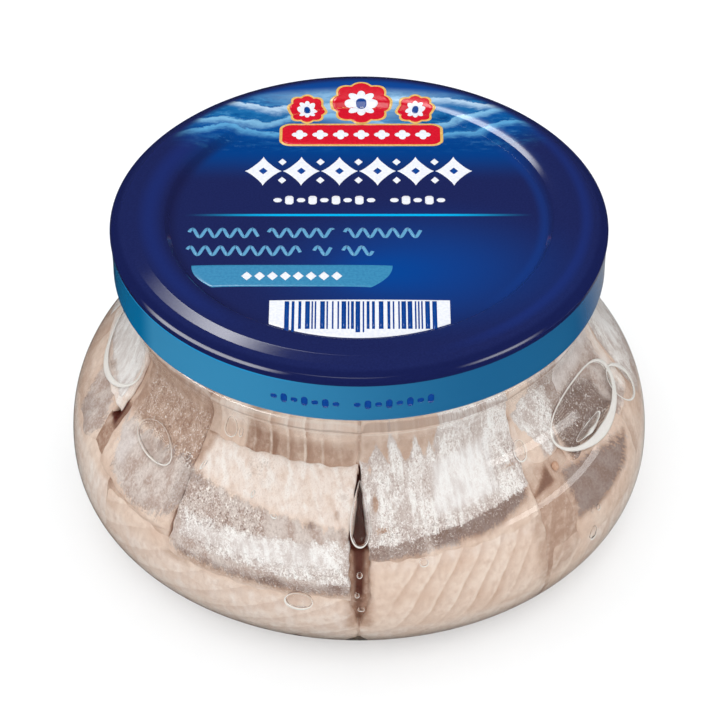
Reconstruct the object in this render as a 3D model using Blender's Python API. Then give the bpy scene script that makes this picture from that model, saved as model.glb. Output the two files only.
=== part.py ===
"""A squat glass jar packed with herring fillet pieces and shut by a metal twist-off lid.

Metres, +Z up. The origin is the middle of the jar's foot, on the surface it stands on, and the
side that shows in the photograph faces -Y. Angles round the jar count from -Y towards +X.
"""
import math

import bmesh
import bpy
import numpy as np

# Glass jar
BODY_RADIUS = 0.0522
BODY_HEIGHT = 0.0127
FOOT_RADIUS = 0.0356
FOOT_RING = 0.0042
PUSH_UP = 0.0013
NECK_RADIUS = 0.0400
SHOULDER_TOP = 0.0408
SHOULDER_SLOPE = math.radians(73)
SHOULDER_REACH = 0.0129
BELLY_REACH_UP = 0.0138
BELLY_REACH_DOWN = 0.0084
FOOT_REACH = 0.0102
NECK_BEAD_HEIGHT = 0.0456
NECK_BEAD = 0.0011
RIM_TOP = 0.0594
RIM_RADIUS = 0.0014
WALL = 0.0026
FLOOR = 0.0034

# Lid, with heights above the lower edge of its skirt
SKIRT_BOTTOM = 0.0493
SKIRT_RADIUS = 0.0432
BEAD_RADIUS = 0.0435
BEAD_FOOT = 0.0088
BEAD_TOP = 0.0111
BEAD_WIDTH = 0.0029
CREASE_RADIUS = 0.0392
CREASE_DEPTH = 0.0003
RECESS_RADIUS = 0.0337
PANEL_RADIUS = 0.0314
PANEL_HEIGHT = 0.0097
RECESS_ROUND = 0.0010
RECESS_DROP = 0.0004
CURL_RADIUS = 0.0009
SHEET = 0.0006

# Fillet pieces
GLASS_GAP = 0.0005
PIECE_THICKNESS = 0.0060
PIECE_EDGE_ROUND = 0.0011
PIECE_EDGE_DROP = 0.0009
PIECE_WAVER = 0.0007
CORE_DEPTH = 0.0042
CORE_TOP = 0.0515
CORE_FOOT_RADIUS = 0.0300
CORE_LIFT = 0.0011
TOP_PIECES = 6
TOP_PIECE_SIZE = (0.0185, 0.0270, 0.0070)
TOP_PIECE_REACH = 0.0195
TOP_PIECE_TILT = math.radians(9)
STEP_ROUND = math.radians(7.5)
STEP_DOWN = 0.0055
SEED = 7

SIDES = 48

# Fillet pieces that show at the front: angle of the middle and width round the jar, in degrees,
# then where the piece starts and ends, in millimetres down the wall from the skirt, its tilt in
# degrees, and how far it stands back from the glass, in millimetres.
FRONT_PIECES = (
    (-21.0, 37.0, 11.5, 37.5, 0.0, 0.0),
    (20.5, 38.0, 4.5, 27.5, 2.0, 0.0),
    (-19.0, 35.0, 3.0, 13.5, 0.0, 1.3),
    (-54.0, 25.0, 6.0, 33.0, 4.0, 0.0),
    (-88.0, 33.0, 5.0, 21.5, 3.0, 0.0),
    (-85.0, 23.0, 20.5, 35.5, -4.0, 0.8),
    (45.0, 8.5, 11.0, 27.0, 3.0, 1.0),
    (50.5, 17.0, 4.0, 19.5, -8.0, 0.0),
    (70.0, 34.0, 5.0, 25.5, 5.0, 0.3),
    (61.0, 24.0, 26.5, 39.5, 0.0, 0.0),
    (21.5, 38.0, 28.0, 52.0, 1.0, 0.2),
    (-32.0, 58.0, 38.3, 53.0, 0.0, 0.2),
    (-82.0, 38.0, 36.0, 53.0, 0.0, 0.2),
    (61.0, 38.0, 40.2, 53.0, 0.0, 0.2),
)
BACK_START = 88.0
BACK_END = 255.0
BACK_LOW_START = 80.0
BACK_LOW_END = 258.0
BACK_UPPER = 5
BACK_LOWER = 4


def cubic(start, lean_start, lean_end, end, count):
    """Points on a cubic curve whose two middle points are given."""
    t = np.linspace(0.0, 1.0, count)[:, None]
    return (
        (1 - t) ** 3 * np.array(start)
        + 3 * (1 - t) ** 2 * t * np.array(lean_start)
        + 3 * (1 - t) * t**2 * np.array(lean_end)
        + t**3 * np.array(end)
    )


def arc(middle, radii, start, end, count):
    """Points on an ellipse's arc; the angles are in degrees, from the radial direction upwards."""
    a = np.radians(np.linspace(start, end, count))
    return np.stack([middle[0] + radii[0] * np.cos(a), middle[1] + radii[1] * np.sin(a)], 1)


def outer_wall(count):
    """The glass from the shoulder's top, out over the belly and down to the foot, as (radius, height)."""
    slope = (math.cos(SHOULDER_SLOPE), math.sin(SHOULDER_SLOPE))
    lean = (NECK_RADIUS + SHOULDER_REACH * slope[0], SHOULDER_TOP - SHOULDER_REACH * slope[1])
    widest = (BODY_RADIUS, BODY_HEIGHT)
    above = cubic(
        (NECK_RADIUS, SHOULDER_TOP), lean, (BODY_RADIUS, BODY_HEIGHT + BELLY_REACH_UP), widest, count
    )
    below = cubic(
        widest,
        (BODY_RADIUS, BODY_HEIGHT - BELLY_REACH_DOWN),
        (FOOT_RADIUS + FOOT_REACH, 0.0),
        (FOOT_RADIUS, 0.0),
        count,
    )
    return np.concatenate([above, below[1:]])


def inward(profile):
    """The unit normals of a profile that runs downwards, pointing into the glass."""
    along = np.gradient(profile, axis=0)
    along /= np.linalg.norm(along, axis=1)[:, None]
    return np.stack([along[:, 1], -along[:, 0]], 1)


def wall_from_skirt():
    """The outer wall as a fine profile that starts straight down the neck, with its length so far."""
    neck = np.array([(NECK_RADIUS, z) for z in np.linspace(SKIRT_BOTTOM, SHOULDER_TOP, 12)])
    profile = np.concatenate([neck, outer_wall(60)[1:]])
    steps = np.linalg.norm(np.diff(profile, axis=0), axis=1)
    return profile, inward(profile), np.concatenate([[0.0], np.cumsum(steps)])


def on_wall(angle, down, depth):
    """Points at an angle round the jar and a length down its wall, a depth in from its outside."""
    profile, normals, length = wall_from_skirt()
    radius = np.interp(down, length, profile[:, 0]) + depth * np.interp(down, length, normals[:, 0])
    height = np.interp(down, length, profile[:, 1]) + depth * np.interp(down, length, normals[:, 1])
    return np.stack([radius * np.sin(angle), -radius * np.cos(angle), height], -1)


def material(name, colour, roughness, metallic=0.0, transmission=0.0):
    made = bpy.data.materials.new(name)
    made.use_nodes = True
    shader = made.node_tree.nodes["Principled BSDF"]
    shader.inputs["Base Color"].default_value = (*colour, 1.0)
    shader.inputs["Roughness"].default_value = roughness
    shader.inputs["Metallic"].default_value = metallic
    shader.inputs["Transmission Weight"].default_value = transmission
    return made


def finished(bm, name, coat):
    """Closes a bmesh into an object with its faces out, shaded smooth between sharp edges."""
    bmesh.ops.remove_doubles(bm, verts=bm.verts, dist=1e-6)
    bmesh.ops.recalc_face_normals(bm, faces=bm.faces)
    mesh = bpy.data.meshes.new(name)
    bm.to_mesh(mesh)
    bm.free()
    mesh.materials.append(coat)
    mesh.shade_smooth()
    mesh.set_sharp_from_angle(angle=math.radians(35))
    made = bpy.data.objects.new(name, mesh)
    bpy.context.scene.collection.objects.link(made)
    return made


def turned(name, profile, coat):
    """Spins a profile that starts and ends on the axis once round it."""
    bm = bmesh.new()
    ring = [bm.verts.new((r, 0.0, z)) for r, z in profile]
    edges = [bm.edges.new(pair) for pair in zip(ring, ring[1:])]
    bmesh.ops.spin(
        bm,
        geom=ring + edges,
        cent=(0.0, 0.0, 0.0),
        axis=(0.0, 0.0, 1.0),
        angle=math.tau,
        steps=SIDES,
        use_merge=True,
    )
    return finished(bm, name, coat)


def jar():
    """One wall of glass: foot ring and push-up below, belly, shoulder, neck bead, rim, and inside."""
    outside = outer_wall(9)[::-1]
    bead = arc((NECK_RADIUS, NECK_BEAD_HEIGHT), (NECK_BEAD, 1.3 * NECK_BEAD), -90, 90, 5)
    rim_middle = (NECK_RADIUS - RIM_RADIUS, RIM_TOP - RIM_RADIUS)
    rim = arc(rim_middle, (RIM_RADIUS, RIM_RADIUS), 0, 180, 7)
    neck_inside = (NECK_RADIUS - 2 * RIM_RADIUS, SHOULDER_TOP + WALL)
    wall = outer_wall(9)
    lining = (wall + inward(wall) * WALL)[1:]
    lining = lining[lining[:, 1] > FLOOR + WALL / 3]
    half_way = FOOT_RADIUS / 2
    profile = np.concatenate([
        [(0.0, PUSH_UP), (half_way, 0.8 * PUSH_UP), (FOOT_RADIUS - FOOT_RING, 0.0)],
        outside,
        bead,
        rim,
        [neck_inside],
        lining,
        [(FOOT_RADIUS, FLOOR), (half_way, FLOOR + 0.8 * PUSH_UP), (0.0, FLOOR + PUSH_UP)],
    ])
    glass = material("clear glass", (0.93, 0.95, 0.94), 0.03, transmission=1.0)
    return turned("jar", profile, glass)


def lid():
    """Pressed tinplate: a sunk panel, a raised ring with a crease, an outer bead, and a curled skirt."""
    bead_middle = BEAD_RADIUS - BEAD_WIDTH
    panel_top = [(0.0, PANEL_HEIGHT), (PANEL_RADIUS, PANEL_HEIGHT)]
    ring_top = [
        (RECESS_RADIUS, BEAD_TOP - RECESS_DROP),
        (RECESS_RADIUS + RECESS_ROUND, BEAD_TOP - RECESS_DROP / 4),
        ((RECESS_RADIUS + CREASE_RADIUS) / 2, BEAD_TOP),
        (CREASE_RADIUS, BEAD_TOP - CREASE_DEPTH),
    ]
    bead = arc((bead_middle, BEAD_FOOT), (BEAD_WIDTH, BEAD_TOP - BEAD_FOOT), 90, 0, 6)
    curl_middle = (SKIRT_RADIUS - CURL_RADIUS, CURL_RADIUS)
    curl = arc(curl_middle, (CURL_RADIUS, CURL_RADIUS), 0, -180, 7)
    inside_bead = arc(
        (bead_middle, BEAD_FOOT), (BEAD_WIDTH - SHEET, BEAD_TOP - BEAD_FOOT - SHEET), 0, 90, 5
    )
    profile = np.concatenate([
        panel_top,
        ring_top,
        bead,
        curl,
        [(curl_middle[0], 2 * CURL_RADIUS), (SKIRT_RADIUS - SHEET, 3 * CURL_RADIUS)],
        inside_bead,
        [(RECESS_RADIUS + SHEET, BEAD_TOP - RECESS_DROP - SHEET)],
        [(PANEL_RADIUS + SHEET, PANEL_HEIGHT - SHEET), (0.0, PANEL_HEIGHT - SHEET)],
    ])
    profile[:, 1] += SKIRT_BOTTOM
    painted = material("printed tinplate", (0.012, 0.022, 0.105), 0.28, metallic=0.3)
    return turned("lid", profile, painted)


def fillet_piece(coat, middle, width, top, bottom, tilt, set_back):
    """A slab that follows the wall: a grid over the jar's angle and the wall's length, made thick.

    Its face lies a small gap inside the glass and drops away from it near the piece's edges, and
    its two ends waver by a millimetre or so.
    """
    half_angle = math.radians(width) / 2
    half_length = (bottom - top) / 2000
    across = max(3, round(2 * half_angle / STEP_ROUND))
    down = max(3, round(2 * half_length / STEP_DOWN))
    u, v = np.meshgrid(np.linspace(-1, 1, across + 1), np.linspace(-1, 1, down + 1))
    lean = math.sin(math.radians(tilt))
    angle = math.radians(middle) + half_angle * u - lean * half_length * v / BODY_RADIUS
    length = (top + bottom) / 2000 + half_length * v + lean * half_angle * BODY_RADIUS * u
    length += PIECE_WAVER * np.sin(3 * u + math.radians(7 * middle)) * v
    depth = WALL + GLASS_GAP + set_back / 1000
    depth = depth + PIECE_EDGE_DROP * (np.abs(u) ** 5 + np.abs(v) ** 5)
    points = on_wall(angle, length, depth).reshape(-1, 3)
    row = across + 1
    corner = (np.arange(down)[:, None] * row + np.arange(across)).ravel()
    faces = np.stack([corner, corner + row, corner + row + 1, corner + 1], 1)
    mesh = bpy.data.meshes.new("fillet piece")
    mesh.from_pydata(points.tolist(), [], faces.tolist())
    mesh.materials.append(coat)
    piece = bpy.data.objects.new("fillet piece", mesh)
    thick = piece.modifiers.new("thickness", "SOLIDIFY")
    thick.thickness = PIECE_THICKNESS
    thick.offset = -1.0
    rounded = piece.modifiers.new("rounded edge", "BEVEL")
    rounded.width = PIECE_EDGE_ROUND
    rounded.segments = 1
    rounded.limit_method = "ANGLE"
    rounded.angle_limit = math.radians(50)
    return piece


def back_pieces(rng):
    """The pieces of the side that doesn't show: a ring of standing ones over a ring of low ones."""
    pieces = []
    step = (BACK_END - BACK_START) / BACK_UPPER
    for k in range(BACK_UPPER):
        bottom = rng.uniform(25.0, 37.0)
        middle = BACK_START + (k + 0.5) * step
        width = step - rng.uniform(1.5, 3.5)
        pieces.append((middle, width, rng.uniform(3.5, 8.0), bottom, rng.uniform(-4.0, 4.0), 0.0))
    step = (BACK_LOW_END - BACK_LOW_START) / BACK_LOWER
    for k in range(BACK_LOWER):
        middle = BACK_LOW_START + (k + 0.5) * step
        top = rng.uniform(36.5, 39.5)
        pieces.append((middle, step - 2.0, top, 53.0, 0.0, 0.2))
    return pieces


def top_piece(coat, angle, reach, tilt):
    """A slab with rounded edges that lies on the core under the lid, its length towards the middle."""
    bm = bmesh.new()
    bmesh.ops.create_cube(bm, size=1.0)
    bmesh.ops.scale(bm, vec=TOP_PIECE_SIZE, verts=bm.verts)
    mesh = bpy.data.meshes.new("top piece")
    bm.to_mesh(mesh)
    bm.free()
    mesh.materials.append(coat)
    piece = bpy.data.objects.new("top piece", mesh)
    piece.location = (reach * math.sin(angle), -reach * math.cos(angle), CORE_TOP)
    piece.rotation_euler = (0.0, tilt, angle)
    rounded = piece.modifiers.new("rounded edge", "BEVEL")
    rounded.width = 2 * PIECE_EDGE_ROUND
    rounded.segments = 2
    return piece


def keep_largest_shell(mesh):
    """Drops the shells of hollows that fusing seals, which fills them, and any loose scrap."""
    bm = bmesh.new()
    bm.from_mesh(mesh)
    waiting = set(bm.faces)
    shells = []
    while waiting:
        shell = []
        edge_of_search = [waiting.pop()]
        while edge_of_search:
            face = edge_of_search.pop()
            shell.append(face)
            for edge in face.edges:
                for neighbour in edge.link_faces:
                    if neighbour in waiting:
                        waiting.remove(neighbour)
                        edge_of_search.append(neighbour)
        shells.append(shell)
    shells.sort(key=len)
    for shell in shells[:-1]:
        bmesh.ops.delete(bm, geom=shell, context="FACES")
    bm.to_mesh(mesh)
    bm.free()


def herring_fillets():
    """A heap pressed against the glass: a turned core with the pieces that show fused on."""
    flesh = material("herring flesh", (0.60, 0.44, 0.34), 0.35)
    profile, normals, _ = wall_from_skirt()
    sides = (profile + normals * (WALL + CORE_DEPTH))[::7]
    bottom = FLOOR + PUSH_UP + CORE_LIFT
    sides = sides[sides[:, 1] > bottom + CORE_LIFT]
    core_profile = np.concatenate([
        [(0.0, CORE_TOP), (sides[0, 0] - PIECE_EDGE_ROUND, CORE_TOP)],
        sides,
        [(CORE_FOOT_RADIUS, bottom), (0.0, bottom)],
    ])
    core = turned("herring_fillets", core_profile, flesh)
    rng = np.random.default_rng(SEED)
    pieces = bpy.data.collections.new("pieces")
    bpy.context.scene.collection.children.link(pieces)
    for spec in list(FRONT_PIECES) + back_pieces(rng):
        pieces.objects.link(fillet_piece(flesh, *spec))
    for k in range(TOP_PIECES):
        tilt = TOP_PIECE_TILT * rng.uniform(0.5, 1.0)
        pieces.objects.link(top_piece(flesh, math.tau * (k + 0.2) / TOP_PIECES, TOP_PIECE_REACH, tilt))
    join = core.modifiers.new("fused", "BOOLEAN")
    join.operation = "UNION"
    join.operand_type = "COLLECTION"
    join.collection = pieces
    join.solver = "MANIFOLD"
    bpy.context.view_layer.update()
    fused = bpy.data.meshes.new_from_object(core.evaluated_get(bpy.context.evaluated_depsgraph_get()))
    core.modifiers.clear()
    core.data = fused
    keep_largest_shell(fused)
    for piece in list(pieces.objects):
        bpy.data.objects.remove(piece, do_unlink=True)
    bpy.data.collections.remove(pieces)
    return core


def main():
    for old in list(bpy.data.objects):
        bpy.data.objects.remove(old, do_unlink=True)
    jar()
    lid()
    herring_fillets()


main()
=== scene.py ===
"""The looks of a squat glass jar packed with herring fillet pieces in oil, shut by a printed metal lid.

Metres, +Z up; the side that the photograph shows faces -Y. Angles round the jar count from -Y
towards +X, and lengths down the wall count from the lower edge of the lid's skirt. Layouts on the
wall and on the lid are in millimetres, and are turned into metres where points are made.
"""

import math
from collections import namedtuple

import bpy
import numpy as np
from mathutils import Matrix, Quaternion, Vector


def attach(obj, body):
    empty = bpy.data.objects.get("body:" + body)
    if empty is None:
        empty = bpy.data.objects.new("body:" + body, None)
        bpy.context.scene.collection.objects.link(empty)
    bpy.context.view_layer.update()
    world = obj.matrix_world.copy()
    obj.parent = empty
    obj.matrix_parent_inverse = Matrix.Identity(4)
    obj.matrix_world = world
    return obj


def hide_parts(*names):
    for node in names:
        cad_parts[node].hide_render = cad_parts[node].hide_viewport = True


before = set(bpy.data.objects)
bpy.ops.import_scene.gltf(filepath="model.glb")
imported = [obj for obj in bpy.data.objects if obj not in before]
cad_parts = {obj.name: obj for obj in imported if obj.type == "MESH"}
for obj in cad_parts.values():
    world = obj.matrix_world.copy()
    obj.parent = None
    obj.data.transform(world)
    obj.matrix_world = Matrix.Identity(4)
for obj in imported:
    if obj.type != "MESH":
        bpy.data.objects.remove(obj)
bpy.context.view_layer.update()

MM = 0.001

# Glass jar, as in the CAD
BODY_RADIUS = 0.0522
BODY_HEIGHT = 0.0127
FOOT_RADIUS = 0.0356
FOOT_RING = 0.0042
PUSH_UP = 0.0013
NECK_RADIUS = 0.0400
SHOULDER_TOP = 0.0408
SHOULDER_SLOPE = math.radians(73)
SHOULDER_REACH = 0.0129
BELLY_REACH_UP = 0.0138
BELLY_REACH_DOWN = 0.0084
FOOT_REACH = 0.0102
NECK_BEAD_HEIGHT = 0.0456
NECK_BEAD = 0.0011
NECK_BEAD_STRETCH = 1.3
RIM_TOP = 0.0594
RIM_RADIUS = 0.0014
WALL = 0.0026
FLOOR = 0.0034
OIL_TOP = 0.0540
OIL_IN_WALL = 0.0013
OIL_CORNER = 0.001
OIL_OVER_SHOULDER = 0.002
MM_PER_DEGREE = math.radians(1.0) * BODY_RADIUS / MM

# Lid, as in the CAD, with heights above the lower edge of its skirt
SKIRT_BOTTOM = 0.0493
SKIRT_RADIUS = 0.0432
BEAD_RADIUS = 0.0435
BEAD_FOOT = 0.0088
BEAD_TOP = 0.01106
CREASE_RADIUS = 0.0389
CHAMFER_RADIUS = 0.0410
CHAMFER_SLOPE = math.radians(9.5)
CHAMFER_SHARES = (0.02, 0.3, 0.7, 0.98, 1.0)
CONE_SLOPE = math.radians(28)
# The bead's arcs after the cone: slope at the start and at the end, and radius
BEAD_ARCS = ((28.0, 42.0, 0.00025), (42.0, 53.0, 0.0032), (53.0, 90.0, 0.0003))
PANEL_RADIUS = 0.0330
PANEL_HEIGHT = 0.0097
PANEL_EDGE = PANEL_RADIUS - 0.00002
# How steeply the ring rises from the panel to its crease: radii, and slopes in degrees
RISE_RADII = (PANEL_RADIUS, 0.03302, 0.0339, 0.03405, 0.0346, 0.0353, CREASE_RADIUS)
RISE_SLOPES = (0.0, 40.0, 40.0, 12.4, 11.6, 7.0, 2.0)
CURL_RADIUS = 0.0009
CURL_TOP = 1.6 * CURL_RADIUS
CURL_POINTS = 19
CURL_OUTER_STEPS = 12
SHEET = 0.0003

# How strongly glass, oil and trapped air in oil bend light, and what they let through
GLASS_BENDING = 1.52
OIL_BENDING = 1.47
AIR_BENDING = 1.0 / 1.22
GLASS_TINT = (0.97, 0.985, 0.98, 1.0)
OIL_TINT = (0.995, 0.985, 0.955, 1.0)
SHADE_TINT = (0.98, 0.98, 0.98, 1.0)
WHITE = (1.0, 1.0, 1.0, 1.0)
PAPER_TONES = ((0.95, 0.97, 0.98, 1.0), (0.96, 0.98, 0.99, 1.0))

# Print, in millimetres: how far ink stands out of the metal and reaches into it, and its narrow edge
# as a share of its half width
INK_LIFT = 0.013
INK_SINK = 0.03
INK_EDGE = 0.02
# The rows of stars, dots and lozenges; a star's half width, half height and power; the place left
# empty in the row of lozenges
STARS = 6
STAR_START = -20.4
STAR_PITCH = (20.2 - STAR_START) / STARS
STAR_LEVEL = 13.8
STAR_SHAPE = (3.3, 4.3, 0.82)
DOT_OFF = 2.7
LOZENGES = 15
LOZENGE_GAP = 9
LOZENGE_FIRST = -14.3
LOZENGE_PITCH = 2.05
LOZENGE_LEVEL = 5.3
# The wavy strokes, and for each row its level and where its strokes start and end
WAVE_HEIGHT = 1.15
WAVE_LENGTH = 2.6
WAVE_HALF_WIDTH = 0.32
WAVY_ROWS = (
    (-4.1, ((-29.6, -17.4), (-15.8, -4.4), (-2.6, 10.8))),
    (-9.1, ((-29.8, -10.0), (-7.8, -4.8), (-2.8, 2.4))),
)
# The ribbon with its diamonds, and the card with its lines: which widths and gaps they have, and
# which of them are longer
RIBBON_MIDDLE = -11.5
RIBBON_HALF_WIDTH = 17.5
RIBBON_TOP = -13.0
RIBBON_HEIGHT = 6.0
RIBBON_SWEEP = 3.8
DIAMONDS = 8
DIAMOND_FIRST = -19.2
DIAMOND_PITCH = 2.2
DIAMOND_LEVEL = -16.1
CARD_MIDDLE = 0.1
CARD_HALF_WIDTH = 15.5
CARD_TOP = -22.7
CARD_REACH = 32.8
LINES_TOP = -22.9
LINES_HALF_WIDTH = 12.6
LINE_WIDTHS = (0.28, 0.28, 0.5, 0.8)
LINE_GAPS = (0.26, 0.4, 0.65)
LONG_LINES = (1, 2, 14, 15)
# The belt with its studs; the middle and the radius of each rosette; the petals round them
BELT_MIDDLE = 0.4
BELT_LEVEL = 24.7
STUDS = 7
STUD_PITCH = 3.7
ROSETTES = ((0.4, 33.6, 4.9), (-9.4, 31.8, 3.0), (10.2, 31.8, 3.0))
ROSETTE_EDGE = 0.45
PETALS = 8
PETAL_DEPTH = 0.16
# The dashes on the skirt: where the first one is and how far they are apart, in degrees; the place
# left empty
DASHES = 16
DASH_GAP = 7
DASH_FIRST = -19.2
DASH_PITCH = 2.35
DASH_HALF_WIDTH = 0.55
DASH_LIFT = 0.05
DASH_HEIGHT = 4.0

# Each ink in two tones that it varies between
INKS = {
    "white": ((238, 240, 246), (226, 230, 240)),
    "light blue": ((100, 165, 205), (92, 156, 198)),
    "teal": ((58, 138, 180), (50, 128, 172)),
    "blue": ((6, 66, 146), (4, 58, 136)),
    "red": ((214, 16, 44), (202, 12, 38)),
    "gold": ((232, 190, 110), (214, 168, 88)),
}

# Camera and studio
CAMERA_PLACE = (0.0, -0.4709, 0.4211)
CAMERA_PITCH = math.radians(39.94)
CAMERA_TURN = math.radians(-0.02)
LENS = 170.1
SENSOR = 36.0
LAMPS_MIDDLE = (0.0, 0.0, 0.03)
SKY = 1.1
MIRRORED_SKY = 0.016
MIRRORED_GROUND = 0.3
PAPER_REACH = 6.0

# Fish: its gap to the glass, the pieces' thickness, and the steps between their points
GLASS_GAP = 0.0005
PIECE_THICKNESS = 0.0060
FRONT_STEP_MM = 0.38
BACK_STEP_MM = 0.85
SEED = 7
BACK_SEED = 100
# How a piece's thickness falls to its rim: the least power of the place across, and the rim in mm
LEAST_POWER = 2.5
EDGE_ROUND = 1.6
# Ridges along the muscle lines: their height in mm, and their reach as a share of the spacing
RIDGE_MM = 0.045
RIDGE_REACH = 0.22
# Height in millimetres of a thin painted shade line and a thin painted highlight line on the fish, just below
# the neck's bead
NECK_PAINTED_LINES = 43.7
# Waves in the outline of a piece, in its face and in the edges of its skin: lengths and heights in mm
SIDE_WAVES = (19.0, 8.0, 3.7)
SIDE_WAVER = 0.35
END_WAVES = (21.0, 9.0, 4.1)
END_WAVER = 0.5
LUMP_WAVES = ((14.0, 6.0), (12.0, 5.0))
LUMP = 0.10
BED_LUMP_WAVES = ((13.0, 7.0), (11.0, 6.0))
BED_LUMP = 0.15
SKIN_WAVES = (13.0, 6.0, 3.1)
SKIN_WAVER = 0.35
TOP_WAVES = (5.0, 2.3)
TOP_WAVER = 0.4
MUSCLE_WAVES = (31.0, 14.0)
MUSCLE_WAVER = 0.6
# Teeth in the top edge of torn skin: spacing in mm, drift of their places, and where each one peaks
TEETH_SPACING = 3.4
TEETH_DRIFT = 0.35
TEETH_PEAK = 0.3
# Muscle lines and frayed edges of a piece that says nothing else
USUAL_LINES = (60.0, 4.2, 0.0)
USUAL_FRAY = 0.15
# How far noise moves the edge of frayed skin, by strands and by fine grain, and of any skin, in mm
STRAND_TEAR = 8.0
FINE_TEAR = 4.0
FINE_WAVER = 1.2
# How far inside skin a place counts as where a piece has none, in mm
OUTSIDE_SKIN = -20.0
# The pieces at the back: the angles between which the upper and the lower ones stand
BACK_START = 88.0
BACK_END = 255.0
BACK_LOW_START = 80.0
BACK_LOW_END = 258.0
BACK_UPPER = 6
BACK_LOWER = 4
# The bed: the angle up to which it is fine, how far it lies behind the pieces, where it starts and
# ends in mm down the wall, and the middle of its underside
BED_FRONT = 110.0
BED_BEHIND_MM = 0.9
BED_ENDS = (2.0, 58.0)
BED_MIDDLE = (0.0, 0.0, 0.0062)
CRUMB_THICKNESS = 0.8

# Trapped air, in millimetres: its gap to the glass, how much thinner it presses the fish back than it
# is and over which shares of its size, and the painted rim highlight's gap, least width, flatness and depth
AIR_GAP = 0.12
PRESSED_GAP = 0.5
PRESSED_RIM = (1.3, 0.6)
RIM_HIGHLIGHT_GAP = 0.08
RIM_HIGHLIGHT_LEAST = 0.18
RIM_HIGHLIGHT_FLATNESS = 0.7
RIM_HIGHLIGHT_DEEPEST = 0.2
BUBBLE_POWER = 2.6

# How finely shapes are drawn
SIDES = 240
NECK_POINTS = 12
FINE_WALL_POINTS = 80
WALL_POINTS = 48
OIL_POINTS = 40
FLOOR_POINTS = 9
ARC_POINTS = 13
RING_POINTS = 80
EDGE_POINTS = 8
SKIRT_POINTS = 7
BED_FRONT_POINTS = 441
BED_BACK_POINTS = 71
BED_ROWS = 125
BUBBLE_POINTS = 44
CRUMB_POINTS = 16
RIM_HIGHLIGHT_POINTS = 96
RIM_HIGHLIGHT_SIDES = 10


# Shapes


def cubic(start, lean_start, lean_end, end, count):
    """Points on a cubic curve whose two middle points are given."""
    t = np.linspace(0.0, 1.0, count)[:, None]
    return (
        (1 - t) ** 3 * np.array(start)
        + 3 * (1 - t) ** 2 * t * np.array(lean_start)
        + 3 * (1 - t) * t**2 * np.array(lean_end)
        + t**3 * np.array(end)
    )


def arc(middle, radii, start, end, count):
    """Points on an ellipse's arc; the angles are in degrees, from the radial direction upwards."""
    a = np.radians(np.linspace(start, end, count))
    return np.stack([middle[0] + radii[0] * np.cos(a), middle[1] + radii[1] * np.sin(a)], 1)


def outer_wall(count):
    """The glass from the shoulder's top, out over the belly and down to the foot, as (radius, height).

    Two cubic curves run upright into each other where the belly is widest.
    """
    lean = (
        NECK_RADIUS + SHOULDER_REACH * math.cos(SHOULDER_SLOPE),
        SHOULDER_TOP - SHOULDER_REACH * math.sin(SHOULDER_SLOPE),
    )
    widest = (BODY_RADIUS, BODY_HEIGHT)
    over = (BODY_RADIUS, BODY_HEIGHT + BELLY_REACH_UP)
    under = (BODY_RADIUS, BODY_HEIGHT - BELLY_REACH_DOWN)
    above = cubic((NECK_RADIUS, SHOULDER_TOP), lean, over, widest, count)
    below = cubic(widest, under, (FOOT_RADIUS + FOOT_REACH, 0.0), (FOOT_RADIUS, 0.0), count)
    return np.concatenate([above, below[1:]])


def inward(profile):
    """The unit normals of a profile that runs downwards, pointing into the glass."""
    along = np.gradient(profile, axis=0)
    along /= np.linalg.norm(along, axis=1)[:, None]
    return np.stack([along[:, 1], -along[:, 0]], 1)


def wall_from_skirt():
    """The outer wall as a fine profile that starts straight down the neck, with its length so far."""
    neck = np.array([(NECK_RADIUS, z) for z in np.linspace(SKIRT_BOTTOM, SHOULDER_TOP, NECK_POINTS)])
    profile = np.concatenate([neck, outer_wall(FINE_WALL_POINTS)[1:]])
    steps = np.linalg.norm(np.diff(profile, axis=0), axis=1)
    return profile, inward(profile), np.concatenate([[0.0], np.cumsum(steps)])


WALL_PROFILE, WALL_NORMALS, WALL_LENGTH = wall_from_skirt()


def round_axis(angle, radius, height):
    """Points at an angle round the jar: radius times its sine and its cosine."""
    return np.stack([radius * np.sin(angle), -radius * np.cos(angle), height], -1)


def on_wall(angle, down, depth):
    """Points at an angle round the jar and a length down its wall, a depth in from its outside, in mm."""
    place = [np.interp(down * MM, WALL_LENGTH, WALL_PROFILE[:, k]) for k in (0, 1)]
    normal = [np.interp(down * MM, WALL_LENGTH, WALL_NORMALS[:, k]) for k in (0, 1)]
    return round_axis(angle, *(p + depth * MM * n for p, n in zip(place, normal)))


def wall_sheets(angle, down, depths):
    """The points of several sheets over one patch of the wall, one sheet after another."""
    return np.concatenate([on_wall(angle, down, depth).reshape(-1, 3) for depth in depths])


def quads(index):
    """The four-sided faces between neighbouring points of a grid of point numbers."""
    corners = [index[:-1, :-1], index[1:, :-1], index[1:, 1:], index[:-1, 1:]]
    return np.stack(corners, -1).reshape(-1, 4)


def closed_rings(rows, columns):
    """Faces between rings of points, where the first and the last ring are one point each."""
    index = np.arange(rows * columns).reshape(rows, columns)
    index[0] = index[0, 0]
    index[-1] = index[-1, 0]
    return quads(np.concatenate([index, index[:, :1]], 1))


def two_sheets(rows, columns):
    """Faces of a front and a back sheet of points that share the points of their rim."""
    front = np.arange(rows * columns).reshape(rows, columns)
    rim = np.ones((rows, columns), bool)
    rim[1:-1, 1:-1] = False
    back = np.where(rim, front, front + rows * columns)
    return np.concatenate([quads(front), quads(back)[:, ::-1]])


def enclosed(points, faces):
    """Six times the volume inside four-sided faces, which is negative where they point inwards."""
    a, b, c, d = (points[faces[:, k]] for k in range(4))
    return np.sum(a * np.cross(b, c)) + np.sum(a * np.cross(c, d))


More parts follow.
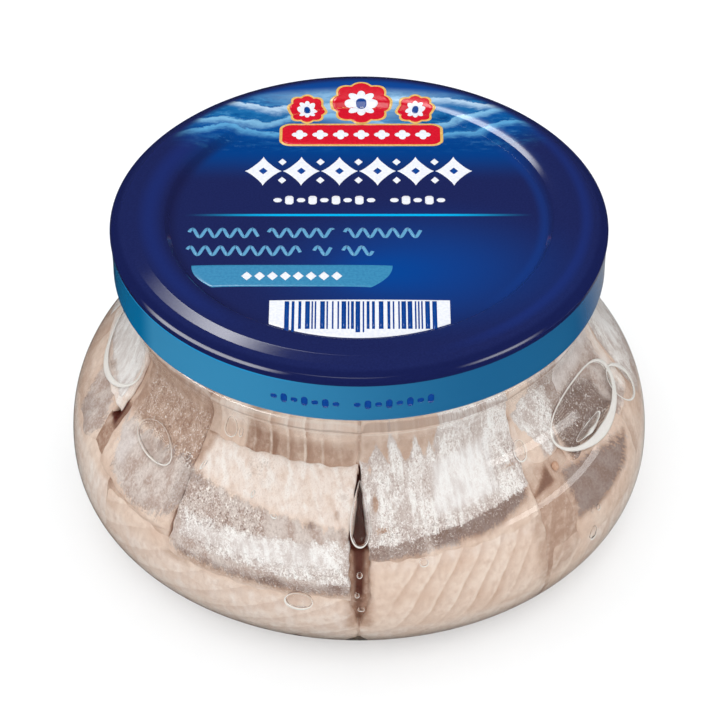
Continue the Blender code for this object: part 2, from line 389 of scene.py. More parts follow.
def piece(name, points, faces, coats, coat_of_face=None, notes=None):
    """Puts points and faces into a mesh on the root body, smooth, with its faces outwards."""
    if enclosed(points, faces) < 0:
        faces = faces[:, ::-1]
    used, faces = np.unique(faces, return_inverse=True)
    faces = faces.reshape(-1, 4)
    rows = [[n for k, n in enumerate(row) if n != row[k - 1]] for row in faces.tolist()]
    mesh = bpy.data.meshes.new(name)
    mesh.from_pydata(points[used].tolist(), [], rows)
    for coat in coats:
        mesh.materials.append(coat)
    if coat_of_face is not None:
        mesh.polygons.foreach_set("material_index", coat_of_face.astype(np.int32))
    for key, values in (notes or {}).items():
        note = mesh.attributes.new(key, "FLOAT_VECTOR", "POINT")
        note.data.foreach_set("vector", values[used].astype(np.float32).ravel())
    mesh.shade_smooth()
    made = bpy.data.objects.new(name, mesh)
    bpy.context.scene.collection.objects.link(made)
    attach(made, "root")
    return made


def turned(name, profile, coats, coat_of_step):
    """Turns a profile that starts and ends on the axis round it: radius times sine and cosine."""
    angle = np.linspace(0.0, math.tau, SIDES, endpoint=False)
    height = np.broadcast_to(profile[:, 1:], (len(profile), SIDES))
    points = round_axis(angle, profile[:, :1], height).reshape(-1, 3)
    return piece(name, points, closed_rings(len(profile), SIDES), coats, np.repeat(coat_of_step, SIDES))


def crowded_ends(count, crowding=0.7):
    """Numbers from -1 to 1 that lie closer together towards both ends."""
    t = np.linspace(-1.0, 1.0, count)
    return (1 - crowding) * t + crowding * np.sin(math.pi / 2 * t)


def from_square(u, v):
    """Places on a unit disc for places on a square: each is shrunk by the other's square."""
    return u * np.sqrt(1 - v**2 / 2), v * np.sqrt(1 - u**2 / 2)


def lens(name, coat, place, count, crowding, near, thickness, power):
    """A closed lens over the wall: place(x, y) gives angle and length down for x, y on a unit disc.

    Its half thickness is the root of one minus a power of the place from its middle to its rim.
    """
    u, v = np.meshgrid(crowded_ends(count, crowding), crowded_ends(count, crowding))
    full = np.sqrt(np.maximum(0.0, 1 - np.maximum(np.abs(u), np.abs(v)) ** power))
    depths = [near + thickness / 2 * (1 + side * full) for side in (-1, 1)]
    points = wall_sheets(*place(*from_square(u, v)), depths)
    return piece(name, points, two_sheets(count, count), [coat])


def smooth_step(low, high, value):
    """0 below low, 1 above high and a smooth rise between."""
    t = np.clip((value - low) / (high - low), 0.0, 1.0)
    return t * t * (3 - 2 * t)


def wander(rng, position, wavelengths):
    """A smooth random line between about -1 and 1: sines of the given wavelengths at random phases."""
    total = sum(np.sin(math.tau * (position / w + rng.uniform())) for w in wavelengths)
    return total / len(wavelengths)


# Materials


class Recipe:
    """The nodes of a material, a lamp or the world, with a short call for each kind."""

    def __init__(self, made):
        self.made = made
        self.made.use_nodes = True
        self.tree = self.made.node_tree
        self.tree.nodes.clear()

    def node(self, kind, inputs=(), **settings):
        node = self.tree.nodes.new(kind)
        for key, value in settings.items():
            setattr(node, key, value)
        for key, value in dict(inputs).items():
            if isinstance(value, bpy.types.NodeSocket):
                self.tree.links.new(value, node.inputs[key])
            else:
                node.inputs[key].default_value = value
        return node

    def add(self, kind, inputs=(), output=0, **settings):
        return self.node(kind, inputs, **settings).outputs[output]

    def math(self, operation, a, b=0.0):
        return self.add("ShaderNodeMath", {0: a, 1: b}, operation=operation)

    def plus(self, total, *others):
        for other in others:
            total = self.math("ADD", total, other)
        return total

    def times(self, product, *others):
        for other in others:
            product = self.math("MULTIPLY", product, other)
        return product

    def minus(self, a, b):
        return self.math("SUBTRACT", a, b)

    def off(self, value, middle):
        """How far the value is from a middle, to either side."""
        return self.math("ABSOLUTE", self.minus(value, middle))

    def root_of_squares(self, a, b):
        return self.math("SQRT", self.plus(self.times(a, a), self.times(b, b)))

    def step(self, value, low, high, to_low=0.0, to_high=1.0):
        """A smooth rise from to_low to to_high while the value goes from low to high."""
        ends = {"From Min": low, "From Max": high, "To Min": to_low, "To Max": to_high}
        return self.add("ShaderNodeMapRange", {"Value": value, **ends}, interpolation_type="SMOOTHSTEP")

    def noise(self, vector, scale, stretch=(1.0, 1.0, 1.0), detail=3.0, roughness=0.55, distortion=0.0):
        placed = self.add("ShaderNodeMapping", {"Vector": vector, "Scale": stretch})
        kind = {"Scale": scale, "Detail": detail, "Roughness": roughness, "Distortion": distortion}
        return self.add("ShaderNodeTexNoise", {"Vector": placed, **kind})

    def mix(self, factor, first, second, blend="MIX"):
        inputs = {0: factor, 6: first, 7: second}
        return self.add("ShaderNodeMix", inputs, output=2, data_type="RGBA", blend_type=blend)

    def paint(self, base, *layers):
        """Lays screen colours over a base in turn, each as far as the product of its masks."""
        for tone, *masks in layers:
            base = self.mix(self.times(*masks), base, colour(*tone))
        return base

    def choose(self, factor, first, second):
        return self.add("ShaderNodeMixShader", {0: factor, 1: first, 2: second})

    def parts(self, vector):
        """The three numbers of a vector."""
        return self.node("ShaderNodeSeparateXYZ", {0: vector}).outputs[:3]

    def note(self, name):
        """The vector kept for each point of the mesh under that name."""
        return self.add("ShaderNodeAttribute", output=1, attribute_name=name)

    def place(self):
        """The point's place in millimetres."""
        where = self.add("ShaderNodeTexCoord", output=3)
        return self.add("ShaderNodeVectorMath", {0: where, 3: 1000.0}, operation="SCALE")

    def bump(self, height, strength, distance):
        return self.add("ShaderNodeBump", {"Height": height, "Strength": strength, "Distance": distance * MM})

    def finish(self, shader, output="ShaderNodeOutputMaterial"):
        self.node(output, {"Surface": shader})
        return self.made

    def coat(self, tone, roughness, inputs=()):
        """Ends a material with a tone and its gloss."""
        inputs = {"Base Color": tone, "Roughness": roughness, **dict(inputs)}
        return self.finish(self.add("ShaderNodeBsdfPrincipled", inputs))


def material(name):
    return Recipe(bpy.data.materials.new(name))


def colour(red, green, blue):
    """A screen colour from 0 to 255, as the shader's linear colour."""
    screen = np.array([red, green, blue]) / 255.0
    linear = np.where(screen <= 0.04045, screen / 12.92, ((screen + 0.055) / 1.055) ** 2.4)
    return (*linear.tolist(), 1.0)


def see_through(name, bending, tint, mirrors):
    """Glass, oil or trapped air: bends what the camera sees, and lets lamps and soft light through."""
    r = material(name)
    kind = "ShaderNodeBsdfGlass" if mirrors else "ShaderNodeBsdfRefraction"
    bent = r.add(kind, {"Color": tint, "Roughness": 0.0, "IOR": bending})
    clear = r.add("ShaderNodeBsdfTransparent", {"Color": SHADE_TINT})
    path = r.node("ShaderNodeLightPath").outputs
    return r.finish(r.choose(path["Is Shadow Ray"], r.choose(path["Is Diffuse Ray"], bent, clear), clear))


def herring():
    """Moist herring: flesh with muscle lines, under grey skin and silver skin with frayed edges.

    The point's cover note holds how far it is inside silver skin and inside grey skin, in
    millimetres, and how pale the flesh is. Its grain note holds the muscle lines' phase, how
    strong they are and how brown the flesh is: up to 1 for brown, and up to 2 for deep brown. Its
    finish note holds how frayed the skin's edges are, how much painted sheen lies on the skin, and
    how speckled it is. Painted sheen stands for light the skin mirrors: it makes the skin lighter and
    smoother.
    """
    r = material("herring")
    wall = r.note("on_wall")
    silver, grey, pale = r.parts(r.note("cover"))
    phase, lines, brown = r.parts(r.note("grain"))
    # The finish note's second number, glow, is painted sheen.
    fray, glow, speckle = r.parts(r.note("finish"))
    cloud = r.noise(wall, 0.13)
    streaks = r.noise(wall, 0.42, (1.0, 0.55, 1.0), detail=4.0)
    blotch = r.noise(wall, 0.5, detail=5.0, roughness=0.62)
    fibre = r.noise(wall, 0.9, (1.0, 0.55, 1.0))
    fine = r.noise(wall, 2.9, roughness=0.6)
    strand = r.noise(wall, 1.8, (1.0, 0.25, 1.0), detail=4.0, roughness=0.6)
    foil = r.noise(wall, 1.25, (1.0, 0.7, 1.0), detail=4.0, roughness=0.62, distortion=1.4)
    curl = r.noise(wall, 1.7, (1.0, 0.8, 1.0), roughness=0.6, distortion=2.0)
    grain = r.noise(wall, 2.2, (1.0, 0.7, 1.0), roughness=0.6)
    sheen = r.noise(wall, 0.5, (1.5, 0.35, 1.0))
    patchy = r.noise(wall, 0.26, (1.0, 0.6, 1.0), detail=4.0, roughness=0.6)
    fine_off = r.minus(fine, 0.5)
    torn = r.plus(r.times(r.minus(strand, 0.5), STRAND_TEAR), r.times(fine_off, FINE_TEAR))
    ragged = r.plus(r.times(torn, fray), r.times(fine_off, FINE_WAVER))

    flesh = r.paint(
        colour(224, 197, 181),
        ((236, 215, 202), r.step(cloud, 0.35, 0.65)),
        ((211, 180, 163), r.step(blotch, 0.44, 0.66, 0.0, 0.45)),
        ((241, 227, 221), pale, r.step(blotch, 0.70, 0.4, 0.35, 0.9)),
        ((247, 239, 236), pale, r.step(streaks, 0.46, 0.62, 0.0, 0.8)),
        ((205, 178, 164), pale, r.step(fine, 0.46, 0.34, 0.0, 0.45)),
        ((160, 124, 105), brown, r.step(blotch, 0.32, 0.6, 0.6, 1.0)),
        ((196, 164, 148), r.step(fibre, 0.42, 0.7, 0.0, 0.28)),
        ((240, 231, 225), r.step(fine, 0.60, 0.70, 0.0, 0.35)),
    )
    along = r.math("FRACT", r.plus(phase, r.times(r.minus(fibre, 0.5), 0.12)))
    strong = r.times(lines, r.step(blotch, 0.66, 0.42, 0.3, 1.0))
    # Painted shade: just after each muscle line the flesh is darker, fading across the segment; the paler
    # line on each is the flesh's own.
    flesh = r.mix(r.times(r.step(along, 0.55, 0.0), strong), flesh, colour(218, 200, 190), "MULTIPLY")
    flesh = r.paint(
        flesh,
        ((238, 224, 214), r.step(r.off(along, 0.88), 0.11, 0.0, 0.0, 0.6), strong),
        ((80, 24, 10), r.step(brown, 1.0, 2.0)),
    )

    grey_tone = r.paint(
        colour(178, 155, 147),
        ((212, 199, 195), r.step(streaks, 0.36, 0.64)),
        ((234, 226, 223), r.step(grain, 0.50, 0.66, 0.0, 0.4)),
        ((136, 112, 103), r.step(grain, 0.48, 0.34, 0.0, 0.35)),
        ((112, 87, 80), r.math("MINIMUM", brown, 1.0), 0.8),
        # Painted sheen: grey skin is lighter where the glow is high.
        ((229, 224, 227), glow, 0.7),
    )
    grey_mask = r.step(r.plus(grey, ragged), -0.4, 0.6, 0.0, 0.9)

    fold = r.math("PINGPONG", r.times(foil, 5.0), 0.5)
    # Painted sheen: where the glow is high, less of the silver's fine pattern shows.
    busy = r.minus(1.0, r.times(glow, 0.8))
    silver_tone = r.paint(
        colour(226, 214, 211),
        ((252, 249, 249), r.step(foil, 0.38, 0.60)),
        ((198, 181, 176), r.step(patchy, 0.56, 0.42, 0.0, 0.85)),
        ((164, 139, 130), r.step(fold, 0.15, 0.0, 0.0, 0.85), busy),
        ((176, 154, 147), r.step(fine, 0.46, 0.34, 0.0, 0.6), busy),
        ((254, 251, 252), r.step(curl, 0.52, 0.62, 0.0, 0.75), busy),
        # Painted sheen: darker and lighter streaks, and a smooth whiter tone where the glow is high.
        ((208, 194, 190), r.step(sheen, 0.46, 0.30, 0.0, 0.4)),
        ((254, 252, 252), r.step(sheen, 0.52, 0.66, 0.0, 0.6)),
        ((247, 244, 246), glow, r.step(sheen, 0.35, 0.6, 0.45, 0.75)),
        ((176, 154, 147), r.step(r.plus(silver, ragged), 0.0, 0.8, 0.4, 0.0)),
    )
    silver_mask = r.step(r.plus(silver, r.times(ragged, 0.6)), -0.1, 0.2)

    height = r.parts(r.place())[2]
    tone = r.paint(
        r.mix(silver_mask, r.mix(grey_mask, flesh, grey_tone), silver_tone),
        ((122, 94, 83), speckle, r.step(curl, 0.47, 0.36, 0.0, 0.85)),
        ((248, 242, 240), speckle, r.step(curl, 0.56, 0.66)),
        # Painted shade and painted highlight: a thin dark line and a thin light line just below the neck's
        # bead.
        ((160, 132, 120), r.step(r.off(height, NECK_PAINTED_LINES), 0.20, 0.08, 0.0, 0.45)),
        ((240, 230, 224), r.step(r.off(height, NECK_PAINTED_LINES - 0.55), 0.26, 0.10, 0.0, 0.35)),
    )
    relief = r.plus(r.times(fibre, 0.5), r.times(foil, 0.5))
    return r.coat(tone, 0.45, {"Specular IOR Level": 0.2, "Normal": r.bump(relief, 0.25, 0.3)})


def lid_print():
    """The lid's lacquered print: navy, lighter blue at the front right, a picture of rolling swells and a
    teal skirt, with painted light and shade on ring and skirt.
    """
    r = material("lid print")
    where = r.place()
    x, y, z = r.parts(where)
    aside = r.math("ABSOLUTE", x)
    radius = r.root_of_squares(x, y)

    def spot(middle_x, middle_y, reach_x, reach_y):
        """1 at a middle and falling smoothly to 0 at an ellipse round it."""
        across = r.math("DIVIDE", r.minus(x, middle_x), reach_x)
        along = r.math("DIVIDE", r.minus(y, middle_y), reach_y)
        return r.step(r.root_of_squares(across, along), 1.0, 0.0)

    tone = r.paint(
        colour(25, 33, 82),
        ((29, 38, 89), r.step(r.noise(where, 3.0, detail=2.0), 0.3, 0.7)),
        ((8, 62, 140), spot(10.0, -14.5, 33.0, 22.0), 0.9),
        ((0, 66, 146), spot(4.0, -15.0, 13.0, 8.0), 0.75),
        ((0, 60, 132), r.step(y, 10.5, 20.5), r.step(radius, 37.0, 31.0)),
    )
    # Painted shade and painted reflections in bands on the ring's slopes: at the left a dark band by the
    # panel and a lighter blue one further out, at the right lighter blue bands.
    for ring_light_and_shade, middle, reach, start, end, strength in (
        ((24, 24, 62), 33.2, 2.0, -12.0, -26.0, 0.5),
        ((27, 46, 116), 36.6, 2.6, -16.0, -32.0, 0.5),
        ((20, 62, 142), 32.4, 1.6, 18.0, 30.0, 0.4),
        ((27, 48, 120), 39.6, 1.6, 10.0, 30.0, 0.5),
    ):
        ring = r.step(r.off(radius, middle), reach, 0.0)
        tone = r.paint(tone, (ring_light_and_shade, ring, r.step(x, start, end, 0.0, strength)))

    ripple = r.noise(where, 0.2, (0.55, 2.3, 1.0), detail=7.0, roughness=0.66, distortion=0.8)
    chop = r.noise(where, 0.75, (0.7, 1.6, 1.0), detail=5.0, roughness=0.7)
    swell = r.paint(
        colour(0, 54, 122),
        ((6, 82, 146), r.step(y, 19.0, 30.0)),
        ((40, 118, 176), r.step(ripple, 0.47, 0.66)),
        ((92, 160, 206), r.step(chop, 0.52, 0.70, 0.0, 0.6)),
        ((2, 56, 122), r.step(chop, 0.46, 0.34, 0.0, 0.7)),
    )
    drift = r.times(r.minus(r.noise(where, 0.05, (1.0, 0.0, 0.0), detail=2.0), 0.5), 9.0)
    rough = r.times(r.minus(chop, 0.5), 2.4)
    for rise, wave, shift, deep, light in (
        (33.6, 6.8, 0.6, colour(28, 106, 166), colour(190, 218, 240)),
        (29.4, 5.4, 2.6, colour(8, 78, 150), colour(132, 190, 226)),
        (24.6, 7.6, 4.4, colour(4, 64, 138), colour(96, 168, 214)),
    ):
        crest = r.times(r.math("SINE", r.plus(r.math("DIVIDE", x, wave), shift)), 1.6)
        above = r.plus(r.minus(y, r.plus(crest, rise, drift)), rough)
        shade = r.mix(r.step(above, -2.2, 0.1), deep, light)
        under_crest = r.times(r.step(above, 0.3, -0.1), r.step(above, -5.5, -0.8, 0.0, 0.9))
        swell = r.mix(under_crest, swell, shade)
    sky = r.step(r.plus(y, r.times(aside, -0.5)), 22.5, 33.0)
    shaded = r.step(r.plus(y, r.times(aside, 0.1)), 35.5, 38.5)
    swell = r.paint(
        swell,
        ((146, 192, 226), sky, r.step(chop, 0.7, 0.45, 0.35, 0.8)),
        ((12, 66, 142), shaded),
    )
    picture = r.times(r.step(y, 18.5, 25.0), r.step(aside, 36.0, 27.0), r.step(radius, 41.0, 39.2))
    tone = r.paint(
        r.mix(picture, tone, swell),
        ((0, 176, 236), r.step(r.off(y, 1.0), 0.42, 0.18), r.step(aside, 31.0, 12.0)),
        ((14, 20, 66), r.step(radius, 41.5, 42.4, 0.0, 0.5)),
    )
    # Painted light on the skirt: dark at its far left edge, lighter just inside it, growing darker to its
    # right, and a thin painted highlight along its top at the front left.
    teal = r.paint(
        colour(0, 104, 152),
        ((52, 130, 172), r.step(x, -37.6, -34.6)),
        ((28, 94, 138), r.step(x, -26.0, 24.0)),
        ((2, 76, 126), r.step(x, 34.0, 43.0)),
        ((36, 142, 198), r.step(z, 57.0, 57.2), r.step(x, -4.0, -22.0)),
        ((222, 190, 168), r.step(z, 49.75, 49.55, 0.0, 0.8)),
    )
    tone = r.mix(r.step(z, 57.5, 57.35), tone, teal)
    grain = r.bump(r.noise(where, 1.2, detail=2.0), 0.04, 0.03)
    return r.coat(tone, 0.07, {"Specular IOR Level": 0.5, "Normal": grain})


def mottled(name, tone, shade, roughness=0.14):
    """A colour that varies a little, as ink on tinplate does."""
    r = material(name)
    return r.coat(r.paint(colour(*tone), (shade, r.step(r.noise(r.place(), 2.0), 0.35, 0.65))), roughness)


def lid_lacquer():
    """The pale gold lacquer inside the lid."""
    r = material("lid lacquer")
    tone = r.paint(colour(196, 178, 150), ((212, 196, 170), r.noise(r.place(), 0.8)))
    return r.coat(tone, 0.35, {"Metallic": 0.3})


# Jar, oil and lid


def jar_glass():
    """The jar's one wall: foot ring and push-up, belly, shoulder, neck bead, rim, and the inside.

    Bead and rim are arcs, the inside is the outer wall moved in along its normals, and push-up and
    floor fall off with the square of the radius. The whole profile is turned round the axis.
    """
    wall = outer_wall(WALL_POINTS)
    bead_radii = (NECK_BEAD, NECK_BEAD_STRETCH * NECK_BEAD)
    bead = arc((NECK_RADIUS, NECK_BEAD_HEIGHT), bead_radii, -90, 90, ARC_POINTS)
    rim_middle = (NECK_RADIUS - RIM_RADIUS, RIM_TOP - RIM_RADIUS)
    rim = arc(rim_middle, (RIM_RADIUS, RIM_RADIUS), 0, 180, ARC_POINTS)
    inner_neck = NECK_RADIUS - 2 * RIM_RADIUS
    neck = [(inner_neck, OIL_TOP), (inner_neck, SHOULDER_TOP + WALL)]
    lining = (wall + inward(wall) * WALL)[1:]
    lining = lining[lining[:, 1] > FLOOR + WALL / 3]
    spokes = np.linspace(0.0, 1.0, FLOOR_POINTS)[:, None]
    under = np.array([0.0, PUSH_UP]) * (1 - spokes**2) + np.array([FOOT_RADIUS - FOOT_RING, 0.0]) * spokes
    floor_rise = FLOOR + PUSH_UP * (1 - spokes[::-1] ** 2)
    floor = np.concatenate([FOOT_RADIUS * spokes[::-1], floor_rise], 1)
    dry = np.concatenate([under, wall[::-1], bead, rim])
    profile = np.concatenate([dry, neck, lining, floor])
    wet = np.arange(len(profile) - 1) >= len(dry)
    glass = see_through("clear glass", GLASS_BENDING, GLASS_TINT, True)
    against_oil = see_through("glass against oil", GLASS_BENDING, WHITE, False)
    made = turned("jar_glass", profile, [glass, against_oil], wet)
    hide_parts("jar")


def oil():
    """Oil that fills the jar round the fish and reaches just into the wall.

    Its side is the outer wall moved in along its normals, turned round the axis.
    """
    wall = outer_wall(OIL_POINTS)
    side = wall + inward(wall) * OIL_IN_WALL
    side = side[side[:, 1] > FLOOR / 2]
    neck = NECK_RADIUS - OIL_IN_WALL
    profile = np.concatenate([
        [(0.0, OIL_TOP), (neck - OIL_CORNER, OIL_TOP), (neck, OIL_TOP - OIL_CORNER)],
        [(neck, SHOULDER_TOP + OIL_OVER_SHOULDER)],
        side[1:],
        [(FOOT_RADIUS, FLOOR / 2), (0.0, FLOOR / 2 + PUSH_UP)],
    ])
    coat = see_through("oil", OIL_BENDING, OIL_TINT, False)
    turned("oil", profile, [coat], np.zeros(len(profile) - 1))


def lid_top():
    """The lid's top side from the middle out to the bead's foot, as (radius, height).

    The ring's height is the running sum of its slopes. A chamfer, a steeper cone and the bead's arcs
    follow, and each arc's points lie at its radius times the sine and cosine of the slope.
    """
    radius = np.linspace(RISE_RADII[1], CREASE_RADIUS, RING_POINTS)
    radius = np.concatenate([RISE_RADII[:1], radius])
    slope = np.tan(np.radians(np.interp(radius, RISE_RADII, RISE_SLOPES)))
    rise = np.concatenate([[0.0], np.cumsum((slope[1:] + slope[:-1]) * np.diff(radius))])
    ring = np.stack([radius, PANEL_HEIGHT + (BEAD_TOP - PANEL_HEIGHT) * rise / rise[-1]], 1)
    chamfer_drop = (CHAMFER_RADIUS - CREASE_RADIUS) * math.tan(CHAMFER_SLOPE)
    bend = np.array([CHAMFER_RADIUS, BEAD_TOP - chamfer_drop])
    steps = [[(0.0, 0.0)]]
    for start, end, reach in BEAD_ARCS:
        turn = np.radians(np.linspace(start, end, EDGE_POINTS))
        steps.append(reach * np.diff(np.stack([np.sin(turn), np.cos(turn)], 1), axis=0))
    edge = np.cumsum(np.concatenate(steps), axis=0)
    edge[:, 0] += BEAD_RADIUS - edge[-1, 0]
    edge[:, 1] += bend[1] - (edge[0, 0] - CHAMFER_RADIUS) * math.tan(CONE_SLOPE)
    chamfer = ring[-1] + (bend - ring[-1]) * np.array(CHAMFER_SHARES)[:, None]
    cone = np.linspace(bend, edge[0], EDGE_POINTS)[1:-1]
    panel = [(0.0, PANEL_HEIGHT), (PANEL_EDGE, PANEL_HEIGHT)]
    top = np.concatenate([panel, ring, chamfer, cone, edge, [(BEAD_RADIUS, BEAD_FOOT)]])
    top[:, 1] += SKIRT_BOTTOM
    return top


LID_TOP = lid_top()


def lid():
    """Pressed tinplate: a sunk panel, a raised ring with a crease, an outer bead, and a curled skirt.

    The skirt widens with the cube of its height, its curl is three quarters of a circle, and the
    underside is the top moved in along its normals. The whole profile is turned round the axis.
    """
    curl_middle = (SKIRT_RADIUS - CURL_RADIUS, SKIRT_BOTTOM + CURL_RADIUS)
    curl = arc(curl_middle, (CURL_RADIUS, CURL_RADIUS), 0, -270, CURL_POINTS)
    flare = np.linspace(1.0, 0.0, SKIRT_POINTS)[1:] ** 3
    height = np.linspace(BEAD_FOOT, CURL_TOP, SKIRT_POINTS)[1:]
    skirt = np.stack([SKIRT_RADIUS + (BEAD_RADIUS - SKIRT_RADIUS) * flare, SKIRT_BOTTOM + height], 1)
    under = LID_TOP[::-1] - inward(LID_TOP[::-1]) * SHEET
    under = under[under[:, 0] < BEAD_RADIUS - SHEET]
    under[-1] = (0.0, LID_TOP[0, 1] - SHEET)
    profile = np.concatenate([LID_TOP, skirt, curl, skirt[::-1] - (SHEET, 0.0), under])
    inside = np.arange(len(profile) - 1) >= len(LID_TOP) + len(skirt) + CURL_OUTER_STEPS
    made = turned("lid_tinplate", profile, [lid_print(), lid_lacquer()], inside)
    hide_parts("lid")


# Print on the lid


def ink_grid(rows, columns):
    """A grid from -1 to 1 with a very narrow step at every edge, and which of its places are edges."""
    inner = [np.linspace(INK_EDGE - 1.0, 1.0 - INK_EDGE, count - 2) for count in (columns, rows)]
    u, v = np.meshgrid(*(np.concatenate([[-1.0], line, [1.0]]) for line in inner))
    return u, v, (np.abs(u) == 1.0) | (np.abs(v) == 1.0)


def ink_film(name, sheets, coat):
    """A film of ink from the points of its face and of its underside in the metal."""
    points = np.concatenate([sheet.reshape(-1, 3) for sheet in sheets])
    made = piece(name, points, two_sheets(*sheets[0].shape[:2]), [coat])


def print_film(name, place, coat, rows, columns, layer=1):
    """A film on the lid's top: place(u, v) gives millimetres across and back for u, v from -1 to 1.

    Its face follows the lid's profile at its layer's small lift, and its rim lies in the metal.
    """
    u, v, rim = ink_grid(rows, columns)
    x, y = place(u, v)
    height = np.interp(np.hypot(x, y) * MM, LID_TOP[:, 0], LID_TOP[:, 1])
    lifts = (np.where(rim, -INK_SINK, layer * INK_LIFT), -INK_SINK)
    ink_film(name, [np.stack([x * MM, y * MM, height + lift * MM], -1) for lift in lifts], coat)


def bar(middle_x, middle_y, half_width, half_height, corner):
    """A bar with round corners: its half height shrinks along a circle near its ends."""

    def place(u, v):
        into_corner = np.maximum(0.0, half_width * np.abs(u) - (half_width - corner))
        height = half_height - corner + np.sqrt(np.maximum(0.0, corner**2 - into_corner**2))
        return middle_x + half_width * u, middle_y + height * v

    return place


def disc(middle_x, middle_y, radius, lobes=0, depth=0.0):
    """A disc drawn from a square grid, whose radius may swell and shrink in round lobes."""

    def place(u, v):
        x, y = from_square(u, v)
        swell = 1 + depth * (np.abs(np.cos(np.arctan2(y, x) * lobes / 2)) - 0.5)
        return middle_x + radius * x * swell, middle_y + radius * y * swell

    return place


def star(middle_x, middle_y, half_width, half_height, power=1.0):
    """A four-pointed figure: a superellipse, which is a lozenge at power 1 and hollow-sided below it."""

    def place(u, v):
        x, y = from_square(u, v)
        turn = np.arctan2(y, x)
        swell = (np.abs(np.cos(turn)) ** power + np.abs(np.sin(turn)) ** power) ** (-1 / power)
        far = swell * np.hypot(x, y)
        return middle_x + half_width * far * np.cos(turn), middle_y + half_height * far * np.sin(turn)

    return place


def wavy_stroke(start, end, level):
    """A brush stroke along a sine: its points are moved sideways by half its width."""

    def path(t):
        x = start + (end - start) * t
        return x, level + WAVE_HEIGHT * np.sin(math.tau * (x - start) / WAVE_LENGTH)

    def place(u, v):
        t = (u + 1) / 2
        x, y = path(t)
        ahead_x, ahead_y = path(t + 0.001)
        side = WAVE_HALF_WIDTH * v / np.hypot(ahead_x - x, ahead_y - y)
        return x - (ahead_y - y) * side, y + (ahead_x - x) * side

    return place


def ribbon(u, v):
    """A band whose ends sweep in below: the half width shrinks with a power of the depth."""
    drop = (1 - v) / 2
    half = RIBBON_HALF_WIDTH - RIBBON_SWEEP * drop**2.2
    return RIBBON_MIDDLE + half * u, RIBBON_TOP - RIBBON_HEIGHT * drop - 0.25 * np.abs(u) ** 6


def card(u, v):
    """A white card between a shallow parabola above and a circle inside the panel's edge below."""
    x = CARD_MIDDLE + CARD_HALF_WIDTH * u
    low = -np.sqrt(CARD_REACH**2 - x**2)
    high = CARD_TOP + 0.25 * (1 - u**2)
    return x, low + (high - low) * (v + 1) / 2


def print_on_lid(inks):
    """Stars with dots, lozenges, wavy rows, a ribbon, a card of lines, and a belt with rosettes."""
    white, blue, red, gold = (inks[name] for name in ("white", "blue", "red", "gold"))
    for k in range(STARS):
        middle = STAR_START + (k + 0.5) * STAR_PITCH
        print_film(f"print_star_{k + 1}", star(middle, STAR_LEVEL, *STAR_SHAPE), white, 25, 25, 2)
        print_film(f"print_star_eye_{k + 1}", star(middle, STAR_LEVEL, 0.8, 1.0), blue, 9, 9, 3)
        if k:
            for side in (-1, 1):
                dot = star(middle - STAR_PITCH / 2, STAR_LEVEL + DOT_OFF * side, 0.75, 1.0)
                print_film(f"print_dot_{k}_{side + 2}", dot, white, 9, 9, 2)

    for k in range(LOZENGES):
        if k != LOZENGE_GAP:
            half_height = 1.25 if k % 2 else 0.6
            lozenge = bar(LOZENGE_FIRST + LOZENGE_PITCH * k, LOZENGE_LEVEL, 0.75, half_height, 0.55)
            print_film(f"print_lozenge_{k + 1}", lozenge, white, 6, 8)

    for n, (level, strokes) in enumerate(WAVY_ROWS):
        for k, (start, end) in enumerate(strokes):
            stroke = wavy_stroke(start, end, level)
            print_film(f"print_row_{n + 1}_{k + 1}", stroke, inks["light blue"], 4, 12 * round(end - start))

    print_film("print_ribbon", ribbon, inks["teal"], 16, 40)
    for k in range(DIAMONDS):
        diamond = star(DIAMOND_FIRST + DIAMOND_PITCH * k, DIAMOND_LEVEL, 0.95, 1.2)
        print_film(f"print_ribbon_diamond_{k + 1}", diamond, white, 9, 9, 2)

    print_film("print_card", card, white, 20, 50)
    rng = np.random.default_rng(SEED)
    x = -LINES_HALF_WIDTH
    k = 0
    while x < LINES_HALF_WIDTH:
        width = rng.choice(LINE_WIDTHS)
        k += 1
        half_height = 4.2 if k in LONG_LINES else 3.75
        line = bar(x + width / 2, LINES_TOP - half_height, width / 2, half_height, 0.02)
        print_film(f"print_line_{k}", line, blue, 8, 4, 2)
        x += width + rng.choice(LINE_GAPS)

    print_film("print_belt_edge", bar(BELT_MIDDLE, BELT_LEVEL, 14.9, 3.45, 2.2), gold, 16, 60, 2)
    print_film("print_belt", bar(BELT_MIDDLE, BELT_LEVEL, 14.45, 3.0, 1.9), red, 16, 60, 3)
    for k in range(STUDS):
        stud = disc(BELT_MIDDLE + STUD_PITCH * (k - (STUDS - 1) / 2), BELT_LEVEL, 1.15, 4, 0.5)
        print_film(f"print_belt_stud_{k + 1}", stud, white, 12, 12, 4)
    for k, (*middle, size) in enumerate(ROSETTES):
        edge = disc(*middle, size + ROSETTE_EDGE, PETALS, PETAL_DEPTH)
        print_film(f"print_rosette_edge_{k + 1}", edge, gold, 60, 26, 2)
        print_film(f"print_rosette_{k + 1}", disc(*middle, size, PETALS, PETAL_DEPTH), red, 60, 26, 3)
        print_film(f"print_rosette_ring_{k + 1}", disc(*middle, size * 0.52, PETALS, 0.4), white, 40, 20, 4)
        print_film(f"print_rosette_eye_{k + 1}", disc(*middle, size * 0.2), blue, 24, 12, 5)


